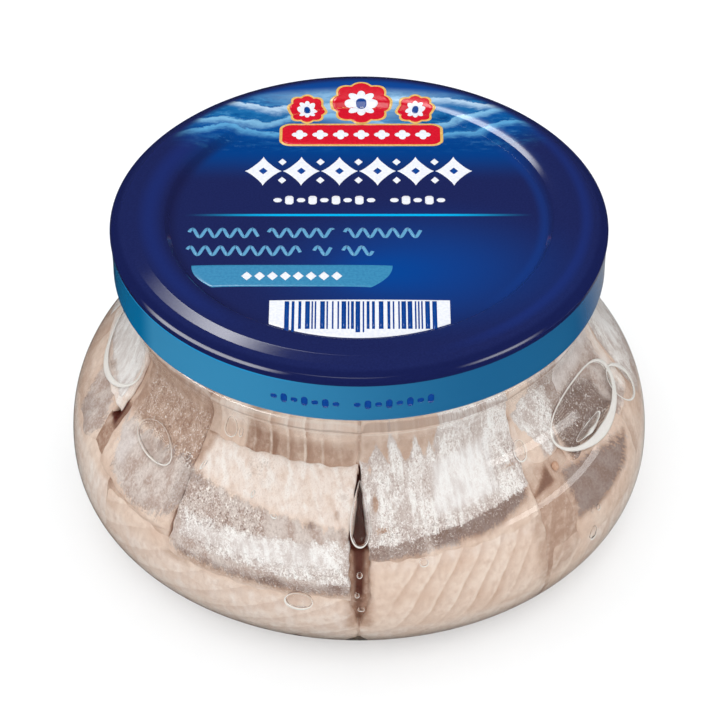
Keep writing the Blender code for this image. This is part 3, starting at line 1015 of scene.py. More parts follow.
def print_on_skirt(coat):
    """A row of small dashes round the front of the skirt, each a film that follows it.

    Their half height is the root of one less most of the fourth power of the place across.
    """
    for k in range(DASHES):
        if k == DASH_GAP:
            continue
        u, v, rim = ink_grid(6, 8)
        half_height = (0.95 if k % 2 else 0.45) * np.sqrt(1 - 0.8 * u**4)
        angle = math.radians(DASH_FIRST + DASH_PITCH * k) + DASH_HALF_WIDTH * MM * u / SKIRT_RADIUS
        height = SKIRT_BOTTOM + (DASH_HEIGHT + half_height * v) * MM
        outer = SKIRT_RADIUS + np.where(rim, -INK_SINK, INK_LIFT + DASH_LIFT) * MM
        sheets = [round_axis(angle, radius, height) for radius in (outer, SKIRT_RADIUS - INK_SINK * MM)]
        ink_film(f"print_skirt_{k + 1}", sheets, coat)


# Air trapped in the oil

# Angle and length down the wall of the middle, half width and half height in millimetres, tilt in
# degrees, thickness in millimetres, how drop-shaped it is: a drop narrows towards its top; the
# width of its painted rim highlight, a bright sheet that stands for light mirrored at the rim, in
# millimetres, and where that highlight is widest, in degrees from the right and clockwise
Bubble = namedtuple("Bubble", "angle down half_width half_height tilt thickness drop seam widest")
BUBBLES = (
    Bubble(0.2, 20.4, 1.75, 5.7, 0.0, 2.6, 0.5, 0.36, 110),
    Bubble(-54.0, 19.5, 6.0, 3.0, 6.0, 1.8, 0.25, 0.34, 60),
    Bubble(-11.8, 37.9, 2.5, 1.8, -3.0, 1.7, 0.0, 0.5, 120),
    Bubble(13.1, 29.9, 0.8, 0.8, 0.0, 1.0, 0.0, 0.2, 90),
    Bubble(-86.0, 14.0, 15.0, 7.6, 3.0, 1.6, -0.2, 1.7, 100),
    Bubble(41.3, 16.4, 1.6, 1.9, 15.0, 1.4, 0.0, 0.3, 90),
    Bubble(67.0, 19.0, 14.3, 5.6, 4.0, 2.2, 0.0, 2.4, 60),
    Bubble(63.3, 21.7, 5.3, 0.8, 2.0, 0.8, 0.0, 1.0, 60),
    Bubble(83.6, 25.0, 5.6, 3.6, 48.0, 1.0, 0.0, 1.4, -30),
    # The next three stand as white glints: tiny bubbles whose painted rim highlights are wider than they are.
    Bubble(-38.6, 18.0, 0.3, 1.0, 25.0, 0.6, 0.0, 0.45, 90),
    Bubble(-24.6, 19.4, 0.3, 0.6, 12.0, 0.6, 0.0, 0.4, 90),
    Bubble(-18.8, 22.2, 0.6, 0.35, 8.0, 0.6, 0.0, 0.4, 90),
    Bubble(53.8, 40.0, 0.9, 1.4, 20.0, 1.2, 0.2, 0.3, 90),
    Bubble(55.9, 35.3, 0.5, 0.6, 0.0, 0.8, 0.0, 0.2, 90),
    Bubble(-34.0, 9.6, 1.6, 1.9, 0.0, 1.2, 0.2, 0.16, 90),
    Bubble(-31.0, 9.9, 0.5, 0.9, 0.0, 0.8, 0.0, 0.14, 90),
    Bubble(0.1, 31.4, 0.5, 0.6, 0.0, 0.9, 0.0, 0.14, 90),
    Bubble(-0.4, 35.6, 0.4, 0.5, 0.0, 0.8, 0.0, 0.14, 90),
    Bubble(0.4, 38.8, 0.6, 0.4, 0.0, 0.8, 0.0, 0.14, 90),
)


def pressed_back(x, down):
    """How far trapped air presses the fish back, in mm: rising smoothly from each bubble's rim inwards."""
    depth = np.zeros(x.shape)
    for air in BUBBLES:
        turn = math.radians(air.tilt)
        right = x - air.angle * MM_PER_DEGREE
        below = down - air.down
        along = (below * math.cos(turn) - right * math.sin(turn)) / air.half_height
        across = (right * math.cos(turn) + below * math.sin(turn)) / air.half_width
        across = across / np.maximum(0.2, 1 + air.drop * along)
        inside = smooth_step(*PRESSED_RIM, np.hypot(across, along))
        depth = np.maximum(depth, max(0.0, air.thickness - PRESSED_GAP) * inside)
    return depth


# Fillet pieces


def box(first, last, top, bottom):
    """The corners of an upright patch, from its first and last angle, its top and its bottom."""
    return ((first, top), (last, top), (last, bottom), (first, bottom))


# For each piece at the front: angle of the middle and width round the jar in degrees, where it
# starts and ends in millimetres down the wall, its tilt in degrees, and how far it stands back
# from the glass in millimetres. Then its cover, as patches whose corners are an angle and a length
# down the wall, clockwise from the top: silver and grey skin, with the height of the teeth of the
# torn top edge; soft patches of pale, brown and deep brown flesh, of frayed cover, of painted sheen
# and of speckled cover, each with its strength; holes in the skin and brown spots, as ellipses;
# lines, the muscle lines' slant in degrees, their spacing in millimetres and their strength, and
# lined, where they show most; strokes, the lean of the skin's strokes in degrees; and slit, the side
# on which the piece borders the dark slit at the front, 1 for its right and -1 for its left.
# Brown and deep brown along the slit are partly the flesh's own colour and partly painted shade.
FRONT_PIECES = {
    "centre_left": {
        "form": (-21.6, 39.4, 12.1, 37.4, 0.0, 0.0),
        "silver": [(((-40.2, 26.8), (-1, 25.0), (-1, 34.0), (-38.7, 32.0)), 1.2)],
        "grey": [(((-42.5, 19.4), (-1, 23.2), (-1, 36.2), (-41, 35.2)), 0.8)],
        "pale": [(((-37, 11), (0, 11), (0, 23), (-40, 19.2)), 1.0), (box(-39, -2, 37, 41), 0.5)],
        "brown": [
            (((-44, 10), (-36.8, 10), (-39.6, 18.2), (-44, 18.5)), 0.7),
            (box(-39, -1, 34.4, 36.6), 0.7),
        ],
        "speckled": [
            (((-42, 19), (-21, 21.8), (-20, 26.5), (-42, 29.5)), 1.0),
            (box(-39, -1, 30.0, 36.4), 0.5),
            (box(-27.5, -20.5, 13, 17), 0.4),
        ],
        "shining": [(box(-26, -6, 26.5, 31.0), 0.5), (box(-38, -26, 27, 31.0), 0.3)],
        "frayed": [(box(-42, 0, 23, 36), 0.35)],
        "strokes": -24,
        "spots": [
            (-4.9, 20.6, 0.6, 0.9, 0.6),
            (-10.8, 22.7, 1.2, 0.8, 0.6),
            (-3.5, 17.5, 0.9, 0.5, 0.4),
            (-17.5, 34.6, 2.2, 1.2, 0.7),
            (-4.5, 33.6, 2.4, 1.3, 0.6),
            (-34.9, 30.0, 1.0, 1.0, 0.7),
            (-39.2, 20.2, 2.0, 1.4, 0.5),
        ],
        "lines": (70, 4.0, 0.0),
        "slit": 1,
    },
    "centre_right": {
        "form": (20.1, 41.4, 1.0, 29.4, 0.0, 0.0),
        "silver": [
            (((-2, 11.8), (42, 11.0), (41.2, 22.4), (0.5, 26.6)), 0.5),
            (((20.0, 4.4), (42, 2.4), (42, 13), (20, 13)), 1.6),
            (((-0.7, 10.3), (1.4, 12.6), (-1.6, 12.6)), 0.0),
            (((4.1, 8.0), (7.8, 12.6), (1.2, 12.6)), 0.0),
            (((7.2, 4.7), (11.8, 12.6), (7.2, 12.6)), 0.0),
            (((14.0, 6.8), (16.8, 12.6), (12.0, 12.6)), 0.0),
            (((17.8, 8.5), (19.4, 12.6), (16.4, 12.6)), 0.0),
            (((20.0, 5.0), (23.0, 12.6), (18.6, 12.6)), 0.0),
        ],
        "grey": [
            (((15, 23.6), (40.5, 20.8), (39, 24.2), (29, 27.0), (16, 27.2)), 1.0),
            (((-1, 25.4), (21, 23.2), (21, 27.8), (2, 29.0)), 0.6),
        ],
        "brown": [
            (((14, 24.2), (40.5, 21.6), (39, 24.6), (29, 27.6), (16, 27.6)), 0.95),
            (box(-1, 14, 24.5, 29.5), 0.7),
            (box(-1, 22, 6.5, 13), 0.4),
        ],
        "speckled": [
            (((-1, 24.5), (18, 22), (20, 27), (1, 28.5)), 0.7),
            (((18, 22.5), (41.5, 20.4), (39, 24.4), (19, 27.0)), 0.4),
            (box(31, 42, 12, 21), 0.35),
            (box(-1, 9, 13, 24), 0.3),
        ],
        "shining": [(((18, 13), (34, 11), (33, 20.5), (17, 22)), 0.9)],
        "frayed": [(box(21, 41, 2, 11), 0.6), (box(0, 41, 21.5, 29), 0.25)],
        "holes": [
            (3.7, 18.7, 0.5, 1.3),
            (5.0, 23.3, 0.9, 0.3),
            (37.2, 17.7, 1.2, 0.2),
            (2.6, 12.8, 0.3, 0.6),
        ],
        "spots": [(3.7, 18.7, 0.9, 1.8, 0.9), (5.0, 23.3, 1.3, 0.7, 0.9), (37.2, 17.7, 1.6, 0.5, 0.8)],
        "lines": (84, 4.0, 0.15),
        "slit": -1,
    },
    "upper_left_cut": {
        "form": (-19.0, 38.0, 1.0, 14.2, 0.0, 0.4),
        "pale": [(box(-37, -29.5, 3, 8), 0.6), (box(-20, -2, 2, 6.5), 0.4)],
        "brown": [
            (box(-29.4, -1, 8.6, 15), 0.75),
            (box(-29, -24.6, 6.0, 13), 0.8),
            (box(-24.4, -20.4, 7.4, 13), 0.5),
        ],
        "lines": (88, 4.1, 1.0),
        "lined": [(box(-27, -9, 2, 14), 1.0)],
        "slit": 1,
    },
    "left": {
        "form": (-54.0, 26.4, 1.0, 33.2, 2.5, 0.0),
        "grey": [(((-67, 20.0), (-41, 18.0), (-39.5, 26), (-45.5, 31.4), (-54, 32.6), (-61.5, 30.6)), 1.6)],
        "pale": [(box(-50, -38, 4, 7), 0.3)],
        "brown": [(box(-68, -36, 1, 19), 0.85), (box(-44, -39, 18, 30), 0.35)],
        "speckled": [(box(-64, -39, 9, 20), 0.75), (box(-45, -39, 18, 30), 0.4)],
        "shining": [(box(-66, -59, 22, 28), 0.6)],
        "frayed": [(box(-68, -38, 17, 34), 0.6)],
        "spots": [(-47.5, 13.0, 1.6, 1.2, 0.7), (-60.9, 10.1, 1.0, 1.0, 0.5), (-52.5, 20.0, 1.6, 1.6, 0.4)],
        "strokes": 12,
    },
    "far_left": {
        "form": (-87.0, 36.0, 1.0, 22.0, 1.0, 0.0),
        "silver": [(box(-99, -71.5, 6, 20.0), 1.0)],
        "pale": [(box(-107, -68, 3, 24), 1.0)],
        "speckled": [(box(-79, -70, 7, 15), 0.4)],
        "shining": [(box(-100, -70, 4, 22), 0.7)],
    },
    "far_left_low": {
        "form": (-85.0, 27.0, 18.5, 35.5, -4.0, 0.5),
        "grey": [(((-88, 18), (-75.5, 20.0), (-71.5, 27), (-76.5, 35.0), (-84, 33.0)), 0.5)],
        "brown": [(box(-80, -72, 20, 27), 0.2), (box(-98, -78, 27, 36), 0.35)],
        "frayed": [(box(-98, -70, 18, 36), 0.7)],
        "strokes": 26,
    },
    "right_strip": {
        "form": (44.5, 11.0, 1.0, 27.5, 0.0, 0.4),
        "pale": [(box(40, 50, 11, 19), 0.4)],
        "brown": [(box(38, 51, 19.5, 28), 0.5)],
        "deep": [
            (((46.6, 20.8), (47.4, 24.6), (40.0, 25.6)), 0.65),
            (((38.9, 8.4), (41.6, 10.6), (38.9, 12.2)), 0.5),
        ],
        "lines": (20, 4.2, 0.0),
    },
    "right_silver": {
        "form": (51.0, 19.5, 1.0, 20.6, -6.0, 0.0),
        "silver": [(((41.2, 9.8), (47, 7.0), (55, 8.5), (55, 17), (49.4, 20.4)), 1.0)],
        "grey": [(box(47, 62, 4, 20), 1.0)],
        "brown": [(box(52, 62, 6, 20), 0.4)],
        "speckled": [(box(50, 62, 5, 20), 0.5)],
        "frayed": [(box(46, 62, 2, 14), 0.7)],
        "strokes": -40,
    },
    "right": {
        "form": (71.0, 34.0, 1.0, 27.0, 4.0, 0.2),
        "grey": [(((54, 2), (83, 2), (83, 27), (55, 26)), 0.8)],
        "pale": [(box(78, 92, 1, 27), 1.0), (box(52, 80, 1, 9), 0.8)],
        "brown": [(((55, 14), (66, 13), (76, 17.5), (76, 24), (54, 25)), 1.0)],
        "shining": [(box(52, 90, 1, 12), 0.6)],
        "deep": [(((64.5, 14.5), (72, 16.5), (70, 18), (66, 16.5)), 0.6)],
        "speckled": [(((54, 12), (68, 12), (77, 18), (74, 25), (54, 24)), 0.9)],
        "frayed": [(box(54, 92, 8, 27), 0.4)],
        "strokes": -30,
    },
    "right_low": {
        "form": (62.5, 27.0, 22.5, 41.0, 0.0, 0.1),
        "grey": [(((50, 22.0), (59, 25.0), (76, 27.0), (68, 33.6), (56.5, 34.8), (50.3, 34.0)), 0.0)],
        "brown": [(((49, 21.5), (59, 24.5), (77, 26.5), (69, 34), (56.5, 35.5), (49, 34.5)), 0.85)],
        "frayed": [(box(50, 66, 20, 37), 0.35), (box(66, 80, 20, 37), 1.2)],
        "lines": (110, 4.2, 0.15),
        "strokes": -38,
    },
    "low_right": {
        "form": (21.5, 39.0, 24.0, 57.0, 1.0, 0.45),
        "pale": [(box(2, 38, 28, 31), 0.3), (box(0, 41, 46, 58), 0.3)],
        "brown": [(((37.6, 26), (42, 26), (43, 44), (38.6, 44)), 0.5), (box(-1, 2.6, 28, 45), 0.7)],
        "lines": (120, 3.5, 0.6),
        "lined": [(((9, 28), (38, 28), (34, 43), (6, 45)), 1.0)],
        "slit": -1,
    },
    "low_left": {
        "form": (-32.0, 60.0, 33.5, 57.0, 0.0, 0.5),
        "pale": [(box(-62, -2, 38, 58), 0.4)],
        "brown": [(box(-42, -36, 32, 38), 0.4), (box(-2.6, 1, 36, 45), 0.6)],
        "lines": (150, 4.4, 0.35),
        "slit": 1,
    },
    "low_far_left": {
        "form": (-82.0, 41.0, 30.0, 57.0, 0.0, 0.5),
        "grey": [(box(-104, -86, 42, 50), 0.0)],
        "pale": [(box(-102, -60, 34, 46), 0.6)],
        "lines": (110, 4.2, 0.12),
    },
    "low_far_right": {
        "form": (64.5, 46.0, 36.0, 57.0, 0.0, 0.5),
        "grey": [(box(74, 92, 49, 54), 0.0)],
        "brown": [(((38, 30), (51, 30), (51.5, 36), (47, 43), (38, 44)), 0.5)],
        "pale": [(box(52, 80, 40, 46), 0.4)],
        "lines": (118, 4.2, 0.35),
    },
}

# The cover of the bed of flesh behind the pieces, and its grooves with how much deeper the bed
# lies in them, in millimetres. Its deep brown in the grooves and the slit, and its brown along the
# slit, are partly the flesh's own colour and partly painted shade.
BED = {
    "brown": [
        (box(-181, 78, 0, 70), 0.4),
        (box(92, 181, 0, 70), 0.4),
        (box(-74, -61, 19, 36), 0.7),
        (box(37, 52, 24, 44), 0.4),
        (box(-3.5, 3.5, 26, 46), 0.6),
    ],
    "deep": [
        (box(-3.0, 3.0, 12.0, 27), 0.9),
        (((-1.3, 27), (1.3, 27), (0.9, 37), (-0.9, 37)), 0.8),
        (((-0.9, 37), (0.9, 37), (0.4, 44), (-0.4, 44)), 0.5),
        (box(-41.5, -38.5, 20, 35), 0.9),
        (box(-72, -69, 9, 24), 0.9),
        (box(-70, -66, 19, 25), 0.5),
    ],
    "lines": (110, 4.0, 0.2),
}
BED_GROOVES = (
    (box(-2.6, 2.6, 13.0, 27.0), 2.4),
    (box(-2.6, 2.6, 27.0, 45.0), 1.4),
    (box(-41.0, -39.2, 21.0, 35.0), 2.4),
    (box(-72.0, -70.0, 9.0, 23.0), 2.0),
)
# The cover of the heap's underside, with places as millimetres across and back
UNDERSIDE = {
    "brown": [(box(-60, 60, -60, 60), 0.25), (((-45, 9), (45, -7), (45, -5), (-45, 11.5)), 0.9)],
    "pale": [(box(-30, 10, 12, 36), 0.5), (box(0, 36, -34, -12), 0.4)],
    "deep": [
        (((-42, 9.6), (40, -6), (40, -5.4), (-42, 10.6)), 0.7),
        (((6, -45), (8, -45), (3, 1), (2, 1)), 0.6),
    ],
    "lines": (24, 4.0, 0.5),
}
UNDERSIDE_ROWS = (0.995, 0.85, 0.7, 0.55, 0.4, 0.25, 0.1)
# The dark slit between the two middle pieces: lengths down the wall, and half widths in degrees
SLIT_DOWN = (0.0, 12.8, 15.0, 19.0, 22.5, 37.0, 41.0, 45.0)
SLIT_HALF_WIDTHS = (0.05, 0.1, 0.7, 1.5, 2.0, 1.9, 1.3, 0.1)
# Angle, length down the wall and radius in millimetres of a crumb of spice
CRUMB = (49.0, 22.4, 0.9)
CRUMB_TONES = ((196, 150, 124), (206, 168, 146))


def inside_sides(x, y, corners):
    """How far places lie inside each side of a patch, in mm: the cross product with the side's direction."""
    ring = [(angle * MM_PER_DEGREE, down) for angle, down in corners]
    distances = []
    for (start_x, start_y), (end_x, end_y) in zip(ring, ring[1:] + ring[:1]):
        along_x, along_y = end_x - start_x, end_y - start_y
        cross = (y - start_y) * along_x - (x - start_x) * along_y
        distances.append(cross / math.hypot(along_x, along_y))
    return distances


def skin_patch(x, y, corners, teeth, rng):
    """How far places are inside a patch of skin, in mm: the least of the distances to its sides.

    Its top edge rises and falls in slanted teeth, and its other edges waver.
    """
    top, *others = inside_sides(x, y, corners)
    phase = x / TEETH_SPACING + TEETH_DRIFT * wander(rng, x, (17.0, 9.0))
    saw = np.abs(phase % 1.0 - TEETH_PEAK) / (1.0 - TEETH_PEAK)
    top = top - teeth * (saw - TEETH_PEAK) - TOP_WAVER * wander(rng, x, TOP_WAVES) * min(1.0, teeth)
    return np.minimum(top, np.min(others, axis=0) - SKIN_WAVER * wander(rng, x + y, SKIN_WAVES))


def soft_patches(x, y, patches, softness=1.0):
    """The summed strength of soft-edged patches, each falling to 0 over the softness at its sides."""
    total = np.zeros(x.shape)
    for corners, strength in patches:
        total += strength * smooth_step(-softness, softness, np.min(inside_sides(x, y, corners), axis=0))
    return total


def from_middle(x, y, angle, down, half_width, half_height):
    """How far places are from the middle of an ellipse on the wall: 1 is on its edge."""
    return np.hypot((x - angle * MM_PER_DEGREE) / half_width, (y - down) / half_height)


def surface_notes(spec, x, y, depth, rng):
    """The notes that the herring material reads, for places x round the wall and y down it, in mm.

    The wall's places are turned by the lean of the strokes.
    """
    skins = []
    for kind in ("silver", "grey"):
        skins.append(np.full(x.shape, OUTSIDE_SKIN))
        for corners, teeth in spec.get(kind, []):
            skins[-1] = np.maximum(skins[-1], skin_patch(x, y, corners, teeth, rng))
    for angle, down, half_width, half_height in spec.get("holes", []):
        out = (from_middle(x, y, angle, down, half_width, half_height) - 1) * min(half_width, half_height)
        skins = [np.minimum(skin, out) for skin in skins]
    kinds = ("pale", "brown", "frayed", "shining", "speckled")
    pale, brown, frayed, shining, speckled = (soft_patches(x, y, spec.get(kind, [])) for kind in kinds)
    for *ellipse, strength in spec.get("spots", []):
        brown += strength * smooth_step(1.3, 0.5, from_middle(x, y, *ellipse))
    slant, spacing, strength = spec.get("lines", USUAL_LINES)
    turn = math.radians(slant)
    along = x * math.sin(turn) - y * math.cos(turn) + MUSCLE_WAVER * wander(rng, y, MUSCLE_WAVES)
    deep = np.minimum(soft_patches(x, y, spec.get("deep", []), 0.5), 1.0)
    brown = np.minimum(brown, 1.0) * (1 - deep) + 2.0 * deep
    if "lined" in spec:
        strength = strength * (0.2 + 0.8 * np.minimum(soft_patches(x, y, spec["lined"], 3.0), 1.0))
    lean = math.radians(spec.get("strokes", 0.0))
    across = x * math.cos(lean) + y * math.sin(lean)
    below = y * math.cos(lean) - x * math.sin(lean)
    return {
        "on_wall": np.stack([across, below, depth], -1),
        "cover": np.stack([*skins, np.minimum(pale, 1.0)], -1),
        "grain": np.stack([along / spacing, np.broadcast_to(strength, x.shape), brown], -1),
        "finish": np.stack([USUAL_FRAY + frayed, np.minimum(shining, 1.0), speckled], -1),
    }


def fish_piece(name, points, faces, coat, notes=None):
    """A piece of the heap, with its notes spread over its points."""
    flat = {key: np.resize(values, (len(points), 3)) for key, values in (notes or {}).items()}
    made = piece(name, points, faces, [coat], notes=flat)
    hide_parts("herring_fillets")


def fillet(name, spec, coat, step, seed):
    """A piece of fillet against the wall: a closed cushion over the angle and the wall's length.

    Its thickness is full in the middle and falls to nothing at the rim, as one minus a high power
    of the place across; its outline wavers; and its face has low ridges along the muscle lines.
    """
    rng = np.random.default_rng(seed)
    middle, width, top, bottom, tilt, set_back = spec["form"]
    half_angle = math.radians(width) / 2
    half_length = (bottom - top) / 2
    half_across = half_angle * BODY_RADIUS / MM
    columns = max(8, round(2 * half_across / step))
    rows = max(8, round(2 * half_length / step))
    u, v = np.meshgrid(crowded_ends(columns), crowded_ends(rows))
    lean = math.sin(math.radians(tilt))
    angle = math.radians(middle) + half_angle * u - lean * half_length * MM * v / BODY_RADIUS
    angle = angle + u * SIDE_WAVER * MM / BODY_RADIUS * wander(rng, v * half_length, SIDE_WAVES)
    down = (top + bottom) / 2 + half_length * v + lean * half_across * u
    down = down + v * END_WAVER * wander(rng, u * half_across, END_WAVES)
    side = spec.get("slit", 0)
    if side:
        slit = np.radians(np.interp(down, SLIT_DOWN, SLIT_HALF_WIDTHS))
        to_slit = -side * slit - (math.radians(middle) + side * half_angle)
        angle = angle + to_slit * smooth_step(-1.0, 1.0, side * u) ** 3
    x = angle * BODY_RADIUS / MM
    notes = surface_notes(spec, x, down, np.zeros(x.shape), rng)
    phase, lines = np.moveaxis(notes["grain"], -1, 0)[:2]
    round_u, round_v = (max(LEAST_POWER, half / EDGE_ROUND) for half in (half_across, half_length))
    full = (1 - np.abs(u) ** round_u) ** (1 / round_u) * (1 - np.abs(v) ** round_v) ** (1 / round_v)
    relief = RIDGE_MM * lines * smooth_step(0.0, RIDGE_REACH, np.abs(phase % 1.0 - 0.5))
    lumps = wander(rng, x + 0.3 * down, LUMP_WAVES[0]) * wander(rng, down, LUMP_WAVES[1])
    nearest = WALL / MM + GLASS_GAP / MM
    half_thick = PIECE_THICKNESS / MM / 2
    front = nearest + set_back + half_thick * (1 - full) + (relief + LUMP * lumps) * full
    front = np.maximum(front, nearest + pressed_back(x, down))
    back = np.maximum(nearest + set_back + half_thick * (1 + full), front)
    fish_piece(name, wall_sheets(angle, down, (front, back)), two_sheets(rows, columns), coat, notes)


def back_pieces(rng):
    """The pieces of the side that doesn't show: a ring of standing ones over a ring of low ones."""
    specs = []
    shares = np.cumsum(rng.uniform(0.7, 1.4, BACK_UPPER))
    cuts = BACK_START + (BACK_END - BACK_START) * np.concatenate([[0.0], shares / shares[-1]])
    for k in range(BACK_UPPER):
        first = cuts[k] + rng.uniform(0.2, 1.2)
        last = cuts[k + 1] - rng.uniform(0.2, 1.2)
        top = rng.uniform(2.5, 9.0)
        bottom = rng.uniform(28.0, 39.0)
        off = rng.uniform(-3.0, 3.0, 4)
        form = ((first + last) / 2, last - first, top, bottom, rng.uniform(-9.0, 9.0), 0.35 * (k % 2))
        low_edge = ((last + 1, bottom - 4.0 + off[2]), (first - 1, bottom - 4.0 + off[3]))
        skin = ((first - 1, top + 3.5 + off[0]), (last + 1, top + 3.5 + off[1]), *low_edge)
        low_skin = ((first - 1, top + 9 + off[1]), (last + 1, top + 9 + off[0]), *low_edge)
        lines = (rng.uniform(70.0, 115.0), 4.0, 0.35)
        spec = {"form": form, "lines": lines, "strokes": rng.uniform(-30.0, 30.0)}
        spec["frayed"] = [(box(first, last, top, bottom), rng.uniform(0.3, 0.7))]
        if k % 3 == 0:
            spec["silver"] = [(skin, rng.uniform(0.5, 2.5))]
            spec["shining"] = [(box(first + 6, last - 6, top + 6, bottom - 9), 0.7)]
            spec["grey"] = [(box(first, last, top + 1.0, bottom - 1.0), 1.0)]
        elif k % 3 == 1:
            spec["grey"] = [(low_skin, 1.5)]
            spec["pale"] = [(box(first, last, top, top + 9.0), 0.7)]
            spec["speckled"] = [(low_skin, 0.4)]
        else:
            spec["silver"] = [(low_skin, 1.5)]
            spec["brown"] = [(box(first, last, bottom - 6, bottom), 0.6)]
            spec["pale"] = [(box(first, last, top, top + 11.0), 1.0)]
        specs.append(spec)
    step = (BACK_LOW_END - BACK_LOW_START) / BACK_LOWER
    for k in range(BACK_LOWER):
        middle = BACK_LOW_START + (k + 0.5) * step
        top = rng.uniform(32.5, 37.5)
        specs.append({"form": (middle, step - 2.0, top, 57.0, 0.0, 0.3), "lines": (110, 4.0, 0.4)})
    return specs


def heap_bed(coat):
    """The flesh behind the pieces: a grid over the angle and the wall's length, closed on the axis.

    It lies a little behind the pieces' faces, and deeper in its grooves.
    """
    rng = np.random.default_rng(SEED)
    front = np.linspace(-BED_FRONT, BED_FRONT, BED_FRONT_POINTS)
    behind = np.linspace(BED_FRONT, 360.0 - BED_FRONT, BED_BACK_POINTS)[1:-1]
    degrees, down = np.meshgrid(np.concatenate([front, behind]), np.linspace(*BED_ENDS, BED_ROWS))
    x = np.radians(degrees) * BODY_RADIUS / MM
    depth = np.full(x.shape, (WALL + GLASS_GAP) / MM + BED_BEHIND_MM)
    lumps = wander(rng, x, BED_LUMP_WAVES[0]) * wander(rng, down, BED_LUMP_WAVES[1])
    depth = depth + BED_LUMP * lumps
    depth = depth + soft_patches(x, down, BED_GROOVES, 0.5) + pressed_back(x, down)
    ring = on_wall(np.radians(degrees), down, depth)
    top = np.zeros((1,) + ring.shape[1:]) + (0.0, 0.0, ring[0, 0, 2])
    share = np.array((*UNDERSIDE_ROWS, 0.0))[:, None, None]
    under = BED_MIDDLE + (ring[-1:] - BED_MIDDLE) * share
    points = np.concatenate([top, ring, under])
    beside = surface_notes(BED, x, down, depth, rng)
    x, y = under[..., 0] / MM, under[..., 1] / MM
    below = surface_notes(UNDERSIDE, x, y, np.zeros(x.shape), rng)
    notes = {key: np.concatenate([values[:1], values, below[key]]) for key, values in beside.items()}
    fish_piece("fillet_bed", points.reshape(-1, 3), closed_rings(*points.shape[:2]), coat, notes)


def crumb():
    """A small orange crumb of spice against the glass: a round lens."""
    angle, down, radius = CRUMB
    coat = mottled("orange crumb", *CRUMB_TONES, 0.5)

    def place(x, y):
        return math.radians(angle) + radius * x * MM / BODY_RADIUS, down + radius * y

    made = lens("crumb", coat, place, CRUMB_POINTS, 0.9, (WALL + GLASS_GAP) / MM, CRUMB_THICKNESS, 2.0)
    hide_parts("herring_fillets")


def fish():
    """The bed, the pieces at the front and at the back, and the crumb."""
    coat = herring()
    heap_bed(coat)
    for k, (name, spec) in enumerate(FRONT_PIECES.items()):
        fillet(f"fillet_{name}", spec, coat, FRONT_STEP_MM, SEED + k)
    for k, spec in enumerate(back_pieces(np.random.default_rng(SEED))):
        fillet(f"fillet_back_{k + 1}", spec, coat, BACK_STEP_MM, BACK_SEED + k)
    crumb()


def bubble_outline(air, x, y):
    """Places on a unit disc as millimetres across and down: stretched, narrowed towards the top, tilted."""
    across = air.half_width * x * (1 + air.drop * y)
    along = air.half_height * y
    turn = math.radians(air.tilt)
    return across * math.cos(turn) - along * math.sin(turn), across * math.sin(turn) + along * math.cos(turn)


def bubble(name, air, coat):
    """A closed pocket of air just inside the glass: a lens over the bubble's outline."""

    def place(x, y):
        spread, rise = bubble_outline(air, x, y)
        return math.radians(air.angle) + spread * MM / BODY_RADIUS, air.down + rise

    lens(name, coat, place, BUBBLE_POINTS, 0.95, WALL / MM + AIR_GAP, air.thickness, BUBBLE_POWER)


def painted_bubble_rim_highlight(name, air, coat):
    """A painted highlight round a bubble, standing for light mirrored at its rim: a flat ellipse carried
    along its outline, wider towards one side.
    """
    turns = [np.linspace(0.0, math.tau, count, endpoint=False) for count in (RIM_HIGHLIGHT_POINTS, RIM_HIGHLIGHT_SIDES)]
    around, across = np.meshgrid(*turns)
    toward = 0.5 + 0.5 * np.cos(around - math.radians(air.widest))
    radius = air.seam / 2 * (RIM_HIGHLIGHT_LEAST + (1 - RIM_HIGHLIGHT_LEAST) * toward**2)
    spread, rise = bubble_outline(air, np.cos(around), np.sin(around))
    outwards = 1 + radius * np.cos(across) / np.hypot(spread, rise)
    depth = WALL / MM + RIM_HIGHLIGHT_GAP + np.minimum(RIM_HIGHLIGHT_FLATNESS * radius, RIM_HIGHLIGHT_DEEPEST) * (1 + np.sin(across))
    angle = math.radians(air.angle) + spread * outwards * MM / BODY_RADIUS
    index = np.arange(around.size).reshape(around.shape)
    index = np.pad(index, ((0, 1), (0, 1)), "wrap")
    piece(name, wall_sheets(angle, air.down + rise * outwards, [depth]), quads(index), [coat])


def bubbles():
    """Every bubble with its painted rim highlight."""
    air_coat = see_through("trapped air", AIR_BENDING, WHITE, True)
    # A painted highlight: a bright white sheet that stands for light mirrored at each bubble's rim.
    r = material("bubble seam")
    tone = r.paint(colour(246, 240, 237), ((255, 253, 252), r.noise(r.place(), 1.0)))
    rim_highlight_coat = r.coat(tone, 0.3, {"Alpha": 0.8})
    for k, air in enumerate(BUBBLES):
        bubble(f"air_bubble_{k + 1}", air, air_coat)
        painted_bubble_rim_highlight(f"air_rim_highlight_{k + 1}", air, rim_highlight_coat)


# Studio

# Azimuth from -Y towards +X, elevation and roll in degrees; distance, width and height in metres;
# how bright the face is, and how much of it fades towards its edges. The soft lamp lights what is
# matt, and the others only show as highlights.
LAMPS = {
    "lamp_soft": (-12.0, 64.0, 0.0, 1.3, 0.9, 0.7, 4.6, 1.0),
    "lamp_back": (-166.5, 51.5, 0.0, 1.1, 0.31, 0.32, 9.5, 0.55),
    "lamp_left": (-70.0, 32.0, 21.0, 1.0, 1.30, 0.40, 8.0, 0.5),
    "lamp_right": (66.0, 33.0, -20.0, 1.0, 0.70, 0.30, 6.0, 0.8),
    "lamp_strip": (78.0, 6.4, -13.0, 0.6, 0.58, 0.036, 3.4, 0.2),
}


